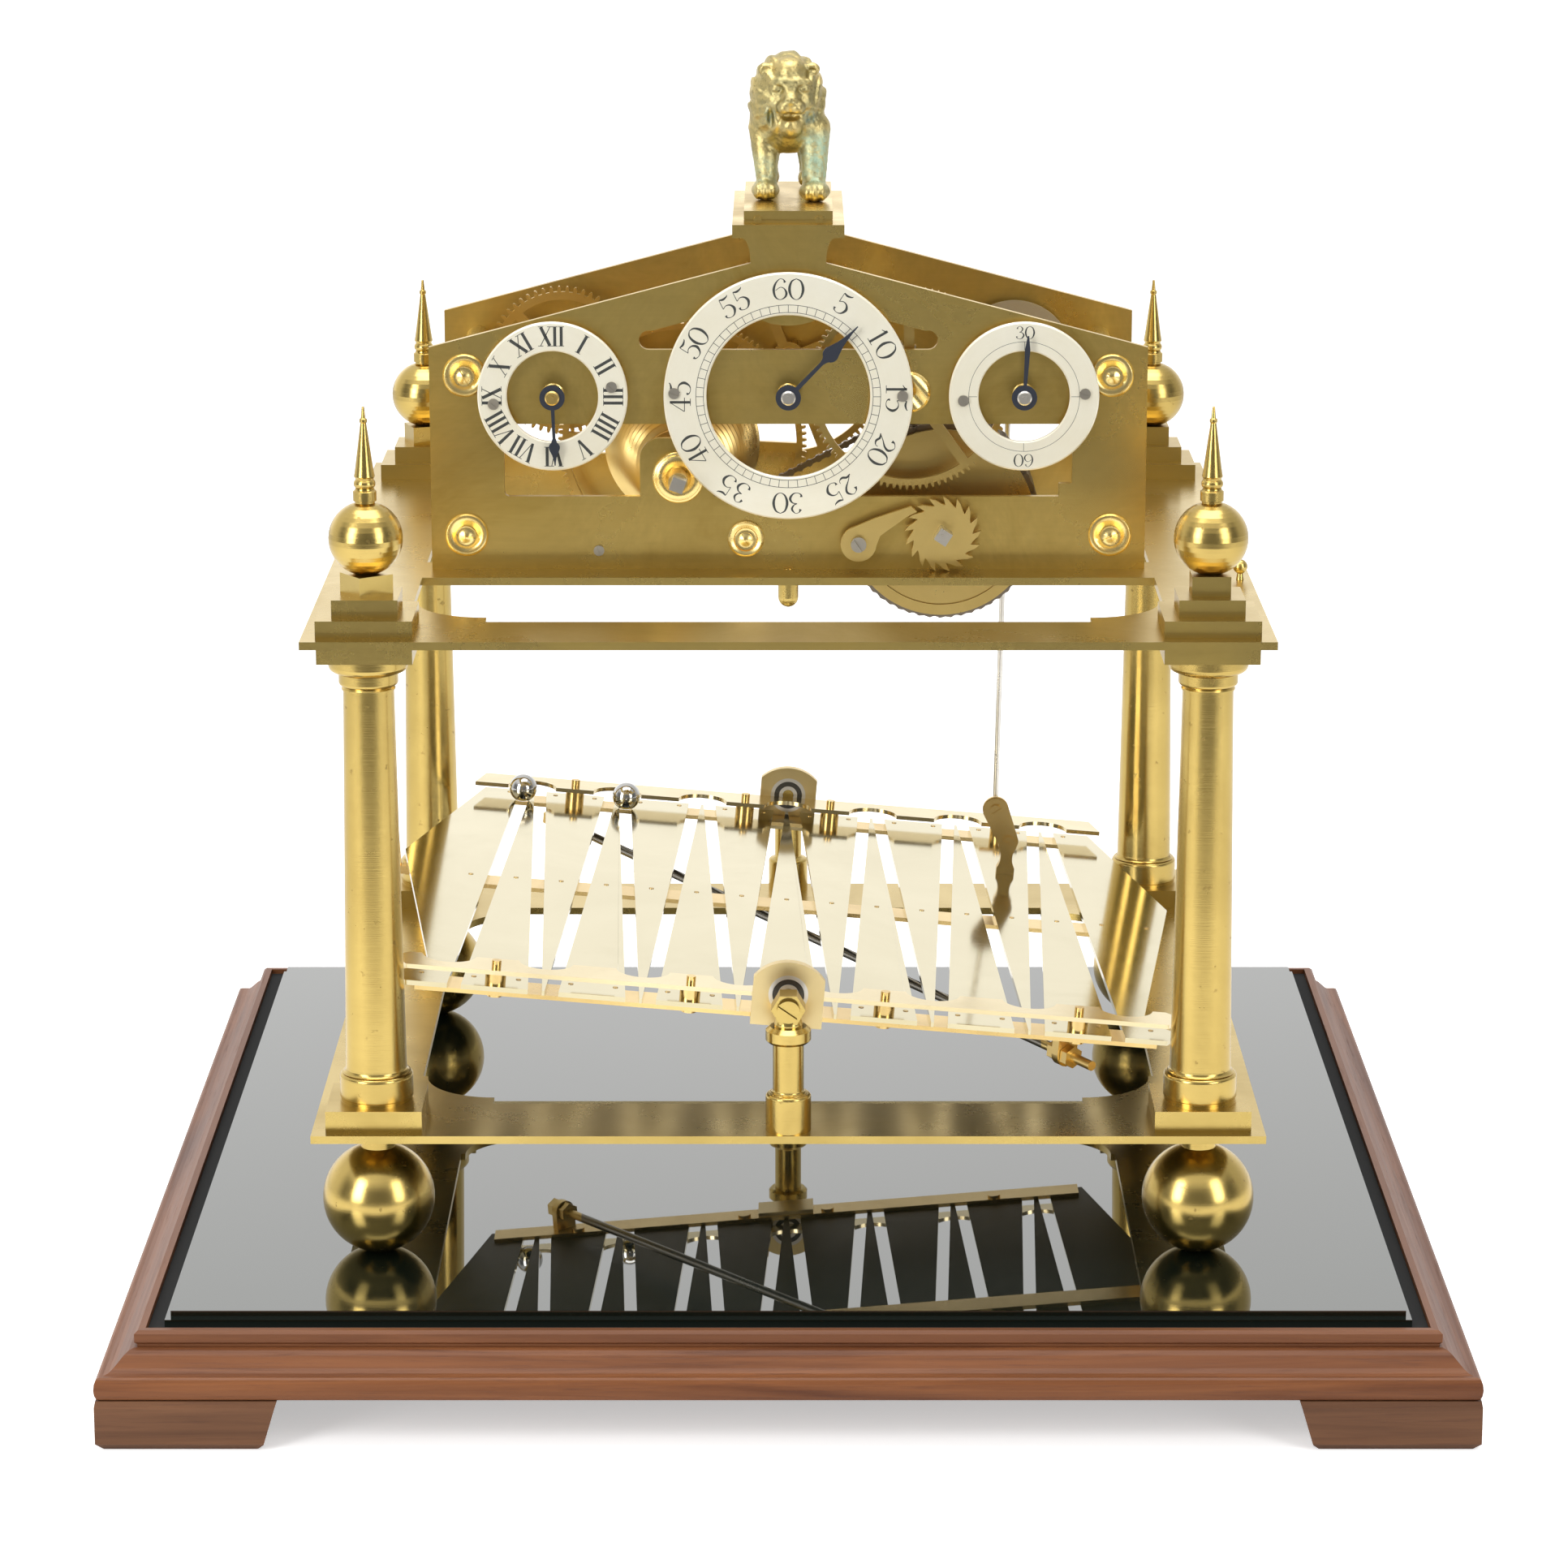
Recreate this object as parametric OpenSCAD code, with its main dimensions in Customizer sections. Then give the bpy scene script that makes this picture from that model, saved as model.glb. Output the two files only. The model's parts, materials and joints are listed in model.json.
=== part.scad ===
// Rolling ball clock. Units are millimetres. X is to the right, Y to the rear, Z up.
// The origin is on the ground plane under the middle of the base.
// A ball runs along a zigzag slot in a tilting table; at the end of its run the
// movement tips the table over again by a crank, a rod and a link.

/* [Base] */
// Width and depth of the moulding over its bottom bead
base_w = 539; // [530:1:560]
// Height of the moulding above its feet
moulding_h = 23.7; // [22:0.1:28]
// Height of the corner feet under the moulding
base_foot_h = 20.5; // [15:0.5:26]
// Width of each corner foot
base_foot_w = 71; // [60:1:90]
// Width of the moulding's rim round the recess for the felt and the glass
rim_w = 18.7; // [17:0.1:21]
// Depth of the recess below the top of the moulding
recess_depth = 3.4; // [2:0.1:6]
// Thickness of the felt under the glass
felt_t = 1.2; // [0.6:0.1:2]
// Gap between the sides of the recess and the glass plate
glass_gap = 6.6; // [1:0.2:10]
// Thickness of the glass plate
glass_t = 6; // [5:0.5:8]
// Step of the glass's polished lower edge
glass_step = 2.2; // [1:0.1:3]

/* [Frame] */
// Width of the two brass frame plates
plate_w = 381; // [370:1:400]
// Depth of the two brass frame plates
plate_d = 384; // [372:1:400]
// Thickness of the frame plates
plate_t = 3.2; // [2.5:0.1:5]
// Clear height between the frame plates
plate_gap = 198.4; // [190:0.2:210]
// Distance of each column's axis from the plate's edges
column_inset = 24.8; // [24:0.1:28]
// Width of the side rails of the frame plates
side_rail = 39.5; // [36:0.5:42]
// Depth of the front and rear rails of the lower plate
lower_rail = 43; // [40:0.5:46]
// Depth of the front and rear rails of the upper plate
upper_rail = 37.4; // [34:0.2:40]
// Radius of the hollow corners of the plates' openings
corner_r = 29; // [24:1:32]
// Shoulder of the hollow corners past the side rails
shoulder_x = 2; // [1:0.5:4]
// Shoulder of the hollow corners past the front and rear rails
shoulder_y = 8; // [5:0.5:10]
// Diameter of the ball feet
ball_foot_d = 45.2; // [40:0.2:48]
// Flat on the underside of a ball foot
ball_foot_flat = 0.5; // [0.2:0.1:1]
// Height of the necks between ball feet and lower plate
neck_h = 8.5; // [6:0.5:12]
// Diameter of the necks
neck_d = 14; // [12:0.5:18]

/* [Columns] */
// Width of the square plinths
plinth_w = 38.5; // [34:0.5:42]
// Height of the plinths
plinth_h = 8.4; // [6:0.2:11]
// Diameter of the column's base drum
drum_d = 29.5; // [27:0.5:32]
// Height of the column's base drum
drum_h = 10.6; // [8:0.2:14]
// Diameter of the shaft at its foot
shaft_foot_d = 24.6; // [22:0.2:26]
// Diameter of the shaft under its capital
shaft_top_d = 20.2; // [18:0.2:22]
// Diameter of the capital's lower ring
ring_low_d = 23.6; // [22.5:0.1:26]
// Height of the capital's lower ring
ring_low_h = 5.6; // [4:0.2:8]
// Diameter of the capital's upper ring
ring_top_d = 31.5; // [28:0.5:34]
// Height of the capital's upper ring
ring_top_h = 6.6; // [5:0.2:9]
// Width of the square abaci
abacus_w = 37.6; // [34:0.2:42]
// Height of the abaci
abacus_h = 7.2; // [5:0.2:10]
// Diameter of the studs at the column's ends
stud_d = 8; // [6:0.5:9]
// Radial clearance of studs, screws and arbors in their holes
fit_gap = 0.05; // [0.02:0.01:0.1]

/* [Finials] */
// Width of the lower step
step_low_w = 38; // [34:0.5:42]
// Height of the lower step
step_low_h = 7; // [5:0.5:10]
// Width of the upper step
step_top_w = 26; // [22:0.5:30]
// Height of the upper step
step_top_h = 7.1; // [5:0.1:10]
// Width of the small block
block_w = 15.2; // [14:0.2:18]
// Height of the small block
block_h = 8.2; // [6:0.2:11]
// Diameter of the finial balls
finial_d = 29.3; // [26:0.1:33]
// Diameter of the finial's collar
collar_d = 9.2; // [8:0.2:11]
// Height of the finial's spire above its ball
spire_h = 38; // [30:1:45]

/* [Table] */
// Height of the table's pivots above the lower plate
pivot_h = 50.8; // [48:0.2:54]
// Tilt of the table at rest, right side down
table_tilt = 4.8; // [3:0.1:5.2]
// Distance of the table's ends from the edges of the frame plates
table_inset = 31; // [31:0.5:34]
// Width of the table at its widest
table_w = 336.8; // [330:0.4:340]
// Width of the table's rear edge
table_rear_w = 280; // [276:1:290]
// Width of the table's front edge
table_front_w = 316; // [306:1:320]
// Thickness of the track's tongues
track_t = 2; // [1.5:0.1:3]
// Thickness of the guard rails
guard_t = 1.8; // [1.2:0.1:2.5]
// Clear height between tongues and guard rails
guard_gap = 5; // [4.4:0.1:6]
// Height of the pivot axis over the top of the guard rails
axis_over_guard = 1; // [0:0.1:2]
// Number of the track's rear turns
rear_turns = 7; // [5:2:7]
// Distance between neighbouring rear turns
turn_pitch = 39.3; // [38:0.1:39.6]
// Distance of the turns' middles from the table's front and rear edges
turn_inset = 18.5; // [17:0.5:19.5]
// Half distance between two slots at the middle of their turn
turn_r = 4.1; // [3.9:0.1:4.4]
// Width of the straight slots between the tongues
slot_w = 5.6; // [4.6:0.1:6]
// Diameter of the rolling balls
ball_d = 12.7; // [11:0.1:13.5]
// Width of the middle bar under the tongues
tie_bar_w = 15; // [12:0.5:20]
// Thickness of the three bars under the tongues
tie_bar_t = 1.8; // [1.2:0.1:2.4]
// Depth of a guard rail between its scallops
guard_w = 17.5; // [17:0.5:20]
// Radius of the guard rails' scallops
scallop_r = 11; // [10.8:0.1:12]

/* [Pivots] */
// Diameter of the pivot posts' base and flange
post_base_d = 18.2; // [16:0.2:20]
// Diameter of the pivot posts' shaft
post_shaft_d = 12.4; // [10:0.2:14]
// Distance of the pivot posts from the table's front and rear edges
post_out = 21.5; // [20:0.1:21.8]
// Width of the six-sided heads of the posts over their corners
post_head_d = 13.6; // [12:0.2:16]
// Width of the front bearing bracket
bracket_w = 28.8; // [24:0.2:32]
// Width of the rear bearing bracket
rear_bracket_w = 25.8; // [22:0.2:30]
// Thickness of the bearing brackets
bracket_t = 4; // [3:0.5:5]
// Outer diameter of the ball bearings
bearing_d = 16; // [14:0.5:18]
// Diameter of the pivot pins
pin_d = 5; // [4:0.5:6]

/* [Movement] */
// Width of the movement plates
move_w = 296; // [290:1:300]
// Height of the movement plates at their sides
move_side_h = 93; // [90:1:98]
// Height of the movement plates at the foot of the turret
move_roof_h = 127.8; // [122:0.2:134]
// Height of the movement plates over the turret
move_top_h = 138.1; // [132:0.1:144]
// Width across the turret's waist
turret_waist = 31; // [28:0.5:34]
// Width across the turret's top
turret_w = 38; // [34:0.5:42]
// Thickness of the movement plates
move_t = 3.2; // [2.4:0.1:4]
// Distance between the outer faces of the movement plates
move_d = 102.4; // [102:0.2:106]
// Half depth of the upper plate's cross strips, from the movement plates' inner side
strip_in = 37; // [36:0.5:40]
// Distance from the middle of the clock to the outer edge of the cross strips
strip_out = 69; // [64:0.5:74]
// Width of the long windows in the movement plates
window_w = 235; // [228:1:240]
// Height of the windows' lower edge
window_low = 30.7; // [28:0.1:32]
// Height of the windows' upper edge
window_top = 61.1; // [59:0.1:63]
// Height of the flat lower edge of the upper cut-out
lens_low = 92; // [90:0.5:96]
// Width of the upper cut-out
lens_w = 123; // [110:1:130]
// Diameter of the movement pillars
pillar_d = 10; // [8:0.5:12]
// Distance of the pillars from the middle line
pillar_x = 133.4; // [128:0.2:136]
// Height of the lower pillars
pillar_low = 14.6; // [12:0.2:18]
// Height of the upper pillars
pillar_top = 81.4; // [76:0.2:86]

/* [Dials] */
// Height of the dials' centres above the upper plate
dial_z = 73.5; // [70:0.1:76]
// Distance of the side dials from the middle
dial_x = 97; // [95:0.1:99]
// Outer radius of the minute dial
minute_dial_r = 51.3; // [48:0.1:53]
// Inner radius of the minute dial
minute_hole_r = 33.7; // [32:0.1:36]
// Outer radius of the hour and seconds dials
side_dial_r = 30.9; // [28:0.1:33]
// Inner radius of the hour and seconds dials
side_hole_r = 18.8; // [17:0.1:21]
// Thickness of the dials
dial_t = 2; // [1:0.1:2.5]
// Gap between the dials and the front plate
dial_gap = 4; // [3.4:0.1:5]

/* [Train] */
// Teeth of the great wheel
great_teeth = 120; // [120:1:120]
// Leaves of the minute pinion
minute_leaves = 10; // [10:1:10]
// Teeth of the minute wheel
minute_teeth = 90; // [90:1:90]
// Leaves of the intermediate and seconds pinions
pinion_leaves = 12; // [12:1:12]
// Teeth of the intermediate wheel
intermediate_teeth = 96; // [96:1:96]
// Teeth of each of the two hour wheels
hour_teeth = 56; // [56:1:56]
// Height of the fusee arbor
fusee_z = 39; // [38:0.2:40]
// Distance of the fusee arbor to the left of the middle
fusee_x = 45.4; // [44:0.2:47]
// Largest radius of the fusee
fusee_r = 31; // [28:0.5:32]
// Smallest radius of the fusee
fusee_small_r = 15; // [13:0.5:18]
// Distance of the barrel arbor to the right of the middle
barrel_x = 64; // [62:0.5:66]
// Height of the barrel arbor
barrel_z = 15.8; // [15.8:0.2:18]
// Radius of the barrel
barrel_r = 38.5; // [36:0.5:40]
// Height of the intermediate arbor above the dials' centres
intermediate_dz = 1; // [-2:0.5:2]
// Distance of the intermediate arbor from the middle
intermediate_x = 50.2; // [49:0.1:51]
// Radius of the crank pin's circle
crank_r = 7.8; // [6:0.1:9]
// Distance from the middle of the clock to the connecting rod
rod_y = 83; // [81:0.5:86]
// Diameter of the connecting rod
rod_d = 2.4; // [1.6:0.1:3]
// Turns of chain on the barrel
chain_turns = 10; // [6:1:12]

/* [Lion] */
// Height of the lion over its plinth
lion_h = 62; // [56:1:66]
// Width of the plinth under the lion
lion_plinth_w = 36.4; // [34:0.2:44]
// Height of the plinth under the lion
lion_plinth_h = 5.3; // [4:0.1:8]
// Height of the slab that bridges the turrets
slab_h = 5.4; // [4:0.1:8]
// Width of the slab that bridges the turrets
slab_w = 46; // [42:0.5:50]

/* [Hidden] */
$fn = 64;
eps = 0.01;

// Recess of the base and the glass in it
recess_w = base_w - 2 * rim_w;
glass_w = recess_w - 2 * (glass_gap + glass_step);

// Heights of the frame, from the ground up
base_top = base_foot_h + moulding_h;
recess_z = base_top - recess_depth;
glass_z = recess_z + felt_t;
glass_top = glass_z + glass_t;
foot_ball_z = glass_top + ball_foot_d / 2 - ball_foot_flat;
lower_z = glass_top + ball_foot_d - ball_foot_flat + neck_h - 1;
lower_top = lower_z + plate_t;
upper_z = lower_top + plate_gap;
upper_top = upper_z + plate_t;
column_x = plate_w / 2 - column_inset;
column_y = plate_d / 2 - column_inset;
corners = [[-1, -1], [1, -1], [1, 1], [-1, 1]];
hole_d = stud_d + 2 * fit_gap;
nut_y = (strip_in + strip_out) / 2;

// Movement planes along Y, from the front plate's outer face to the rear
front_y = -move_d / 2;
front_in = front_y + move_t;
rear_in = -front_in;
dial_back = front_y - dial_gap;
dial_front = dial_back - dial_t;
wheel_t = 2.4;
intermediate_wheel_y = front_in + 4;
barrel_front = -32;
barrel_back = 34;
great_wheel_y = 28;
great_wheel_t = 3;
hour_wheel_y = 34;
minute_wheel_y = 38.9;
disc_y = 40;
disc_r = 25;
arbor_r = 2.2;
pivot_r = 1.2;
front_pivot_r = 1.5;
winding_r = 4;
hand_y = dial_front - 3.2;
hand_t = 1.2;
cock_y = rod_y - 16;
crank_y = rod_y - 10;

// Arbor places in the plane of the movement plates, [x, z above the upper plate]
minute_c = [0, dial_z];
hour_c = [-dial_x, dial_z];
seconds_c = [dial_x, dial_z];
fusee_c = [-fusee_x, fusee_z];
barrel_c = [barrel_x, barrel_z];
intermediate_c = [intermediate_x, dial_z + intermediate_dz];
click_c = [29.1, 11.6];
pillar_places = [for (z = [pillar_low, pillar_top]) for (s = [-1, 1]) [s * pillar_x, z]];
pillar_screw_r = 2.5;

// Screws of the dials
dial_screw_r = 1.2;
hour_screws = [[-24.3, -3], [24.3, 4]];
minute_screws = [[-47, 1.4], [47, 0.3]];
seconds_screws = [[-25, -1.6], [25, 1.2]];
dial_screw_places = concat([for (s = hour_screws) hour_c + s],
  [for (s = minute_screws) minute_c + s], [for (s = seconds_screws) seconds_c + s]);

// Gear modules follow from the centre distances
function span(a, b) = norm(b - a);
function heading(a, b) = atan2(b[1] - a[1], b[0] - a[0]);
great_m = 2 * span(fusee_c, minute_c) / (great_teeth + minute_leaves);
minute_m = 2 * span(minute_c, intermediate_c) / (minute_teeth + pinion_leaves);
second_m = 2 * span(intermediate_c, seconds_c) / (intermediate_teeth + pinion_leaves);
hour_m = span(fusee_c, hour_c) / hour_teeth;

// Table depth, its posts and its heights in the table's own frame, whose origin is
// on the pivot axis
table_d = plate_d - 2 * table_inset;
post_y = table_d / 2 + post_out;
turn_v = table_d / 2 - turn_inset;
guard_top = -axis_over_guard;
guard_low = guard_top - guard_t;
track_top = guard_low - guard_gap;
track_low = track_top - track_t;
tie_low = track_low - tie_bar_t;
pivot_z = lower_top + pivot_h;
front_turns = rear_turns + 1;
ball_rise = sqrt(pow(ball_d / 2, 2) - pow(slot_w / 2, 2)) + 0.1;
function rear_turn_u(i) = (i - (rear_turns - 1) / 2) * turn_pitch;
function front_turn_u(i) = (i - (front_turns - 1) / 2) * turn_pitch;
// Bars under the tongues, [half length, from v, to v]
bars = [[table_front_w / 2 - 8, -table_d / 2 + 0.5, -table_d / 2 + 17],
  [table_w / 2 - 7.4, 0, tie_bar_w],
  [table_rear_w / 2 - 2, table_d / 2 - 13.5, table_d / 2 - 0.5]];
// Screws of the tongues: one each in the middle bar, two beside every turn
bar_screw_r = 1.1;
beside_turn = 10.6;
bar_screws = concat(
  [for (i = [-rear_turns : rear_turns + 1]) [i * turn_pitch / 2, tie_bar_w / 2]],
  [for (i = [0 : front_turns - 1]) for (s = [-1, 1])
    [front_turn_u(i) + s * beside_turn, -table_d / 2 + 13]],
  [for (i = [0 : rear_turns - 1]) for (s = [-1, 1])
    [rear_turn_u(i) + s * beside_turn, table_d / 2 - 5]]);
// Studs that hold the guard rails stand between the turns
stud_r = 1.4;
stud_places = concat(
  [for (i = [0 : 2 : front_turns - 2]) [front_turn_u(i) + turn_pitch / 2, -table_d / 2 + 6]],
  [for (i = [0, floor(rear_turns / 2) - 1, floor(rear_turns / 2), rear_turns - 2])
    [rear_turn_u(i) + turn_pitch / 2, table_d / 2 - 10.5]]);
// Ends and height of the rod that braces the table from corner to corner
truss_a = [-table_rear_w / 2 + 35, table_d / 2 - 4];
truss_b = [table_front_w / 2 - 44, -table_d / 2 + 12];
truss_z = -20;
truss_r = 2;
// Ends of leg k, numbered from the left: odd legs rise to the rear on their right
function leg_rear(k) = [rear_turn_u(floor(k / 2)) + (k % 2 == 0 ? -turn_r : turn_r), turn_v];
function leg_front(k) = [front_turn_u(floor((k + 1) / 2)) + (k % 2 == 0 ? turn_r : -turn_r), -turn_v];

// The rod's lower pivot and the link's lower screw, [u, w] in the table's frame
link_low = [rear_turn_u(rear_turns - 2) + turn_pitch / 2, 7.8];
link_top = link_low + [-7, 14.2];
link_low_r = 4.5;
link_top_r = 5.8;
link_v = rod_y - 4.6;
eye_t = 4;
eye_r = 3.6;
function table_x(p) = p[0] * cos(table_tilt) + p[1] * sin(table_tilt);
function table_z(p) = pivot_z - p[0] * sin(table_tilt) + p[1] * cos(table_tilt);
rod_low = [table_x(link_top), table_z(link_top)];
rod_top = [dial_x, upper_top + dial_z - crank_r];

// Chain: its plane, its drum radii and the straight run from barrel to fusee
chain_w = 2.6;
chain_h = 3;
link_pitch = 4.4;
groove_pitch = 4.2;
grooves = 13;
chain_groove = 10;
groove_y0 = -29.5;
function groove_y(i) = groove_y0 + groove_pitch * (i + 0.5);
function groove_r(i) = fusee_small_r + (fusee_r - fusee_small_r) * pow(i / (grooves - 1), 0.8);
chain_y = groove_y(chain_groove);
run_gap = 0.3 + chain_h / 2;
run_rb = barrel_r + run_gap;
run_rf = groove_r(chain_groove) + run_gap;
run_d = span(barrel_c, fusee_c);
run_a = acos((run_rb + run_rf) / run_d);
run_heading = heading(barrel_c, fusee_c);
run_from = barrel_c + run_rb * [cos(run_heading - run_a), sin(run_heading - run_a)];
run_to = fusee_c - run_rf * [cos(run_heading - run_a), sin(run_heading - run_a)];

// Lion's ground
lion_z = move_top_h + slab_h + lion_plinth_h;

// ---------------------------------------------------------------- helpers

// Upright square prism on its centre
module slab(w, d, h) {
  translate([-w / 2, -d / 2, 0])
    cube([w, d, h]);
}

// The four column places
module at_corners() {
  for (c = corners)
    translate([c[0] * column_x, c[1] * column_y, 0])
      children();
}

// Extrudes a drawing of the XZ plane from y0 to y1
module along_y(y0, y1) {
  translate([0, y1, 0])
    rotate([90, 0, 0])
      linear_extrude(height = y1 - y0)
        children();
}

// Round bar along Y at c = [x, z]
module bar_y(c, y0, y1, r) {
  translate([c[0], y1, c[1]])
    rotate([90, 0, 0])
      cylinder(h = y1 - y0, r = r);
}

// Turned shape along Y from its profile of [radius, length] points
module turned_y(c, y0, points) {
  translate([c[0], y0, c[1]])
    rotate([-90, 0, 0])
      rotate_extrude()
        polygon(points);
}

// Places its children, modelled above z = 0, on the upper plate
module on_upper() {
  translate([0, 0, upper_top])
    children();
}

// Places its children, modelled in the table's frame, at the tilted rest position
module on_table() {
  translate([0, 0, pivot_z])
    rotate([0, table_tilt, 0])
      children();
}

// Slotted cheese-head screw along -Y with its head's seat at y
module screw_y(c, y, head_r, head_h, shank_r, shank_l, slot_a) {
  difference() {
    union() {
      bar_y(c, y - head_h, y, head_r);
      if (shank_l > 0)
        bar_y(c, y - eps, y + shank_l, shank_r);
    }
    translate([c[0], y - head_h, c[1]])
      rotate([0, slot_a, 0])
        translate([-head_r - 1, -1, -0.4])
          cube([2 * head_r + 2, 1 + head_h * 0.45, 0.8]);
  }
}

// Tooth profile: flank thicknesses are shares of the circular pitch
module gear_2d(teeth, m, phase, tip_share, pitch_share, root_share, addendum, dedendum) {
  r = m * teeth / 2;
  pitch_a = 360 / teeth;
  polygon([for (i = [0 : teeth - 1])
    for (p = [[r - dedendum * m, -root_share], [r, -pitch_share], [r + addendum * m, -tip_share],
         [r + addendum * m, tip_share], [r, pitch_share], [r - dedendum * m, root_share]])
      let (a = phase + pitch_a * (i + p[1] / 2))
        p[0] * [cos(a), sin(a)]]);
}

module wheel_2d(teeth, m, phase) {
  gear_2d(teeth, m, phase, 0.16, 0.42, 0.52, 0.85, 1.25);
}

module pinion_2d(leaves, m, phase) {
  gear_2d(leaves, m, phase, 0.14, 0.36, 0.36, 0.8, 1.3);
}

// Openings that leave straight arms between a hub and a rim
module crossings_2d(rim_r, hub_r, arms, arm_w, phase) {
  difference() {
    circle(r = rim_r);
    circle(r = hub_r);
    for (i = [0 : arms - 1])
      rotate(phase + 360 * i / arms)
        translate([0, -arm_w / 2])
          square([rim_r + 1, arm_w]);
  }
}

// Crossed-out wheel in its own plane, with its collet
module crossed_wheel(c, y, t, teeth, m, phase, arms, bore_r) {
  r = m * teeth / 2;
  translate([c[0], 0, c[1]]) {
    difference() {
      union() {
        along_y(y, y + t)
          difference() {
            wheel_2d(teeth, m, phase);
            crossings_2d(r - 4.2 * m, 7, arms, 4.2, phase + 20);
          }
        bar_y([0, 0], y - 1.6, y + t, 5);
      }
      bar_y([0, 0], y - 3, y + t + 1, bore_r);
    }
  }
}

// ---------------------------------------------------------------- base

// Half widths of the moulding over its height: bead, ogee and top fillet
function moulding_profile() =
  let (w = base_w / 2, bead_h = 9.3, ogee_h = 7.8)
    concat(
      [for (i = [0 : 6]) let (a = -90 + 30 * i)
        [w - 2 + 2 * cos(a), bead_h / 2 + bead_h / 2 * sin(a)]],
      [for (i = [0 : 6]) let (t = i / 6)
        [w - 3.5 - 11 * t, bead_h + ogee_h * (0.5 - 0.5 * cos(180 * t))]],
      [[w - 15.6, bead_h + ogee_h],
       [w - 15.6, bead_h + ogee_h + 1],
       [w - 14.6, bead_h + ogee_h + 2],
       [w - 14.6, moulding_h - 1.2],
       [w - 16, moulding_h]]);

module moulding_along_y() {
  half = moulding_profile();
  mirrored = [for (i = [len(half) - 1 : -1 : 0]) [-half[i][0], half[i][1]]];
  translate([0, base_w, 0])
    rotate([90, 0, 0])
      linear_extrude(height = 2 * base_w)
        polygon(concat(half, mirrored));
}

module base_frame() {
  color([0.36, 0.17, 0.09])
    translate([0, 0, base_foot_h])
      difference() {
        intersection() {
          moulding_along_y();
          rotate(90)
            moulding_along_y();
        }
        translate([0, 0, moulding_h - recess_depth])
          slab(recess_w, recess_w, recess_depth + 1);
      }
}

// Side view of one foot: its inner end leans in towards the ground
module foot_along_y() {
  w = base_foot_w;
  translate([0, base_w, 0])
    rotate([90, 0, 0])
      linear_extrude(height = 2 * base_w)
        polygon([[0.5, base_foot_h], [0, base_foot_h - 2.5], [0, 3], [3, 0], [w - 8, 0],
             [w - 5.5, 2.5], [w - 1, base_foot_h - 3], [w, base_foot_h]]);
}

module base_feet() {
  color([0.3, 0.15, 0.09])
    for (c = corners)
      mirror([c[0] > 0 ? 1 : 0, 0, 0])
        mirror([0, c[1] > 0 ? 1 : 0, 0])
          translate([-base_w / 2, -base_w / 2, 0])
            intersection() {
              foot_along_y();
              mirror([1, -1, 0])
                foot_along_y();
            }
}

module base_felt() {
  color([0.05, 0.05, 0.05])
    translate([0, 0, recess_z])
      slab(recess_w - 0.4, recess_w - 0.4, felt_t);
}

module glass_plate() {
  color([0.25, 0.28, 0.27, 0.6])
    translate([0, 0, glass_z])
      union() {
        slab(glass_w + 2 * glass_step, glass_w + 2 * glass_step, glass_t / 2);
        slab(glass_w, glass_w, glass_t);
      }
}

// ---------------------------------------------------------------- frame

module ball_feet() {
  color([0.85, 0.7, 0.4])
    at_corners()
      difference() {
        union() {
          translate([0, 0, foot_ball_z])
            sphere(d = ball_foot_d);
          translate([0, 0, foot_ball_z])
            cylinder(h = lower_z - foot_ball_z, d = neck_d);
        }
        translate([0, 0, glass_top - 10])
          cylinder(h = 10, d = ball_foot_d);
        translate([0, 0, lower_z - neck_h - 5])
          cylinder(h = neck_h + 6, d = hole_d);
      }
}

// Frame plate with its opening; the opening's corners are hollow and stand
// past the rails on small shoulders
module frame_plate_2d(rail) {
  in_x = plate_w / 2 - side_rail;
  in_y = plate_d / 2 - rail;
  arc_x = in_x - shoulder_x - corner_r;
  arc_y = in_y - shoulder_y - corner_r;
  difference() {
    square([plate_w, plate_d], center = true);
    difference() {
      square([2 * in_x, 2 * in_y], center = true);
      for (c = corners)
        difference() {
          translate([c[0] * (arc_x + in_x) / 2, c[1] * (arc_y + in_y) / 2])
            square([in_x - arc_x, in_y - arc_y], center = true);
          translate([c[0] * arc_x, c[1] * arc_y])
            circle(r = corner_r);
        }
    }
    for (c = corners)
      translate([c[0] * column_x, c[1] * column_y])
        circle(d = hole_d);
  }
}

module lower_plate() {
  color([0.8, 0.66, 0.36])
    difference() {
      translate([0, 0, lower_z])
        linear_extrude(height = plate_t)
          frame_plate_2d(lower_rail);
      for (s = [-1, 1])
        translate([0, s * post_y, lower_z - 1])
          cylinder(h = plate_t + 2, d = 5 + 2 * fit_gap);
    }
}

module upper_plate() {
  color([0.75, 0.6, 0.33])
    difference() {
      translate([0, 0, upper_z])
        linear_extrude(height = plate_t)
          difference() {
            union() {
              frame_plate_2d(upper_rail);
              for (s = [-1, 1])
                translate([0, s * (strip_in + strip_out) / 2])
                  square([plate_w - 2 * side_rail + 1, strip_out - strip_in], center = true);
            }
            for (s = [-1, 1])
              translate([0, s * nut_y])
                circle(d = 4 + 2 * fit_gap);
          }
    }
}

module plinths() {
  color([0.85, 0.68, 0.35])
    at_corners()
      difference() {
        translate([0, 0, lower_top])
          slab(plinth_w, plinth_w, plinth_h);
        translate([0, 0, lower_top - 1])
          cylinder(h = plinth_h + 2, d = hole_d);
      }
}

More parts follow.
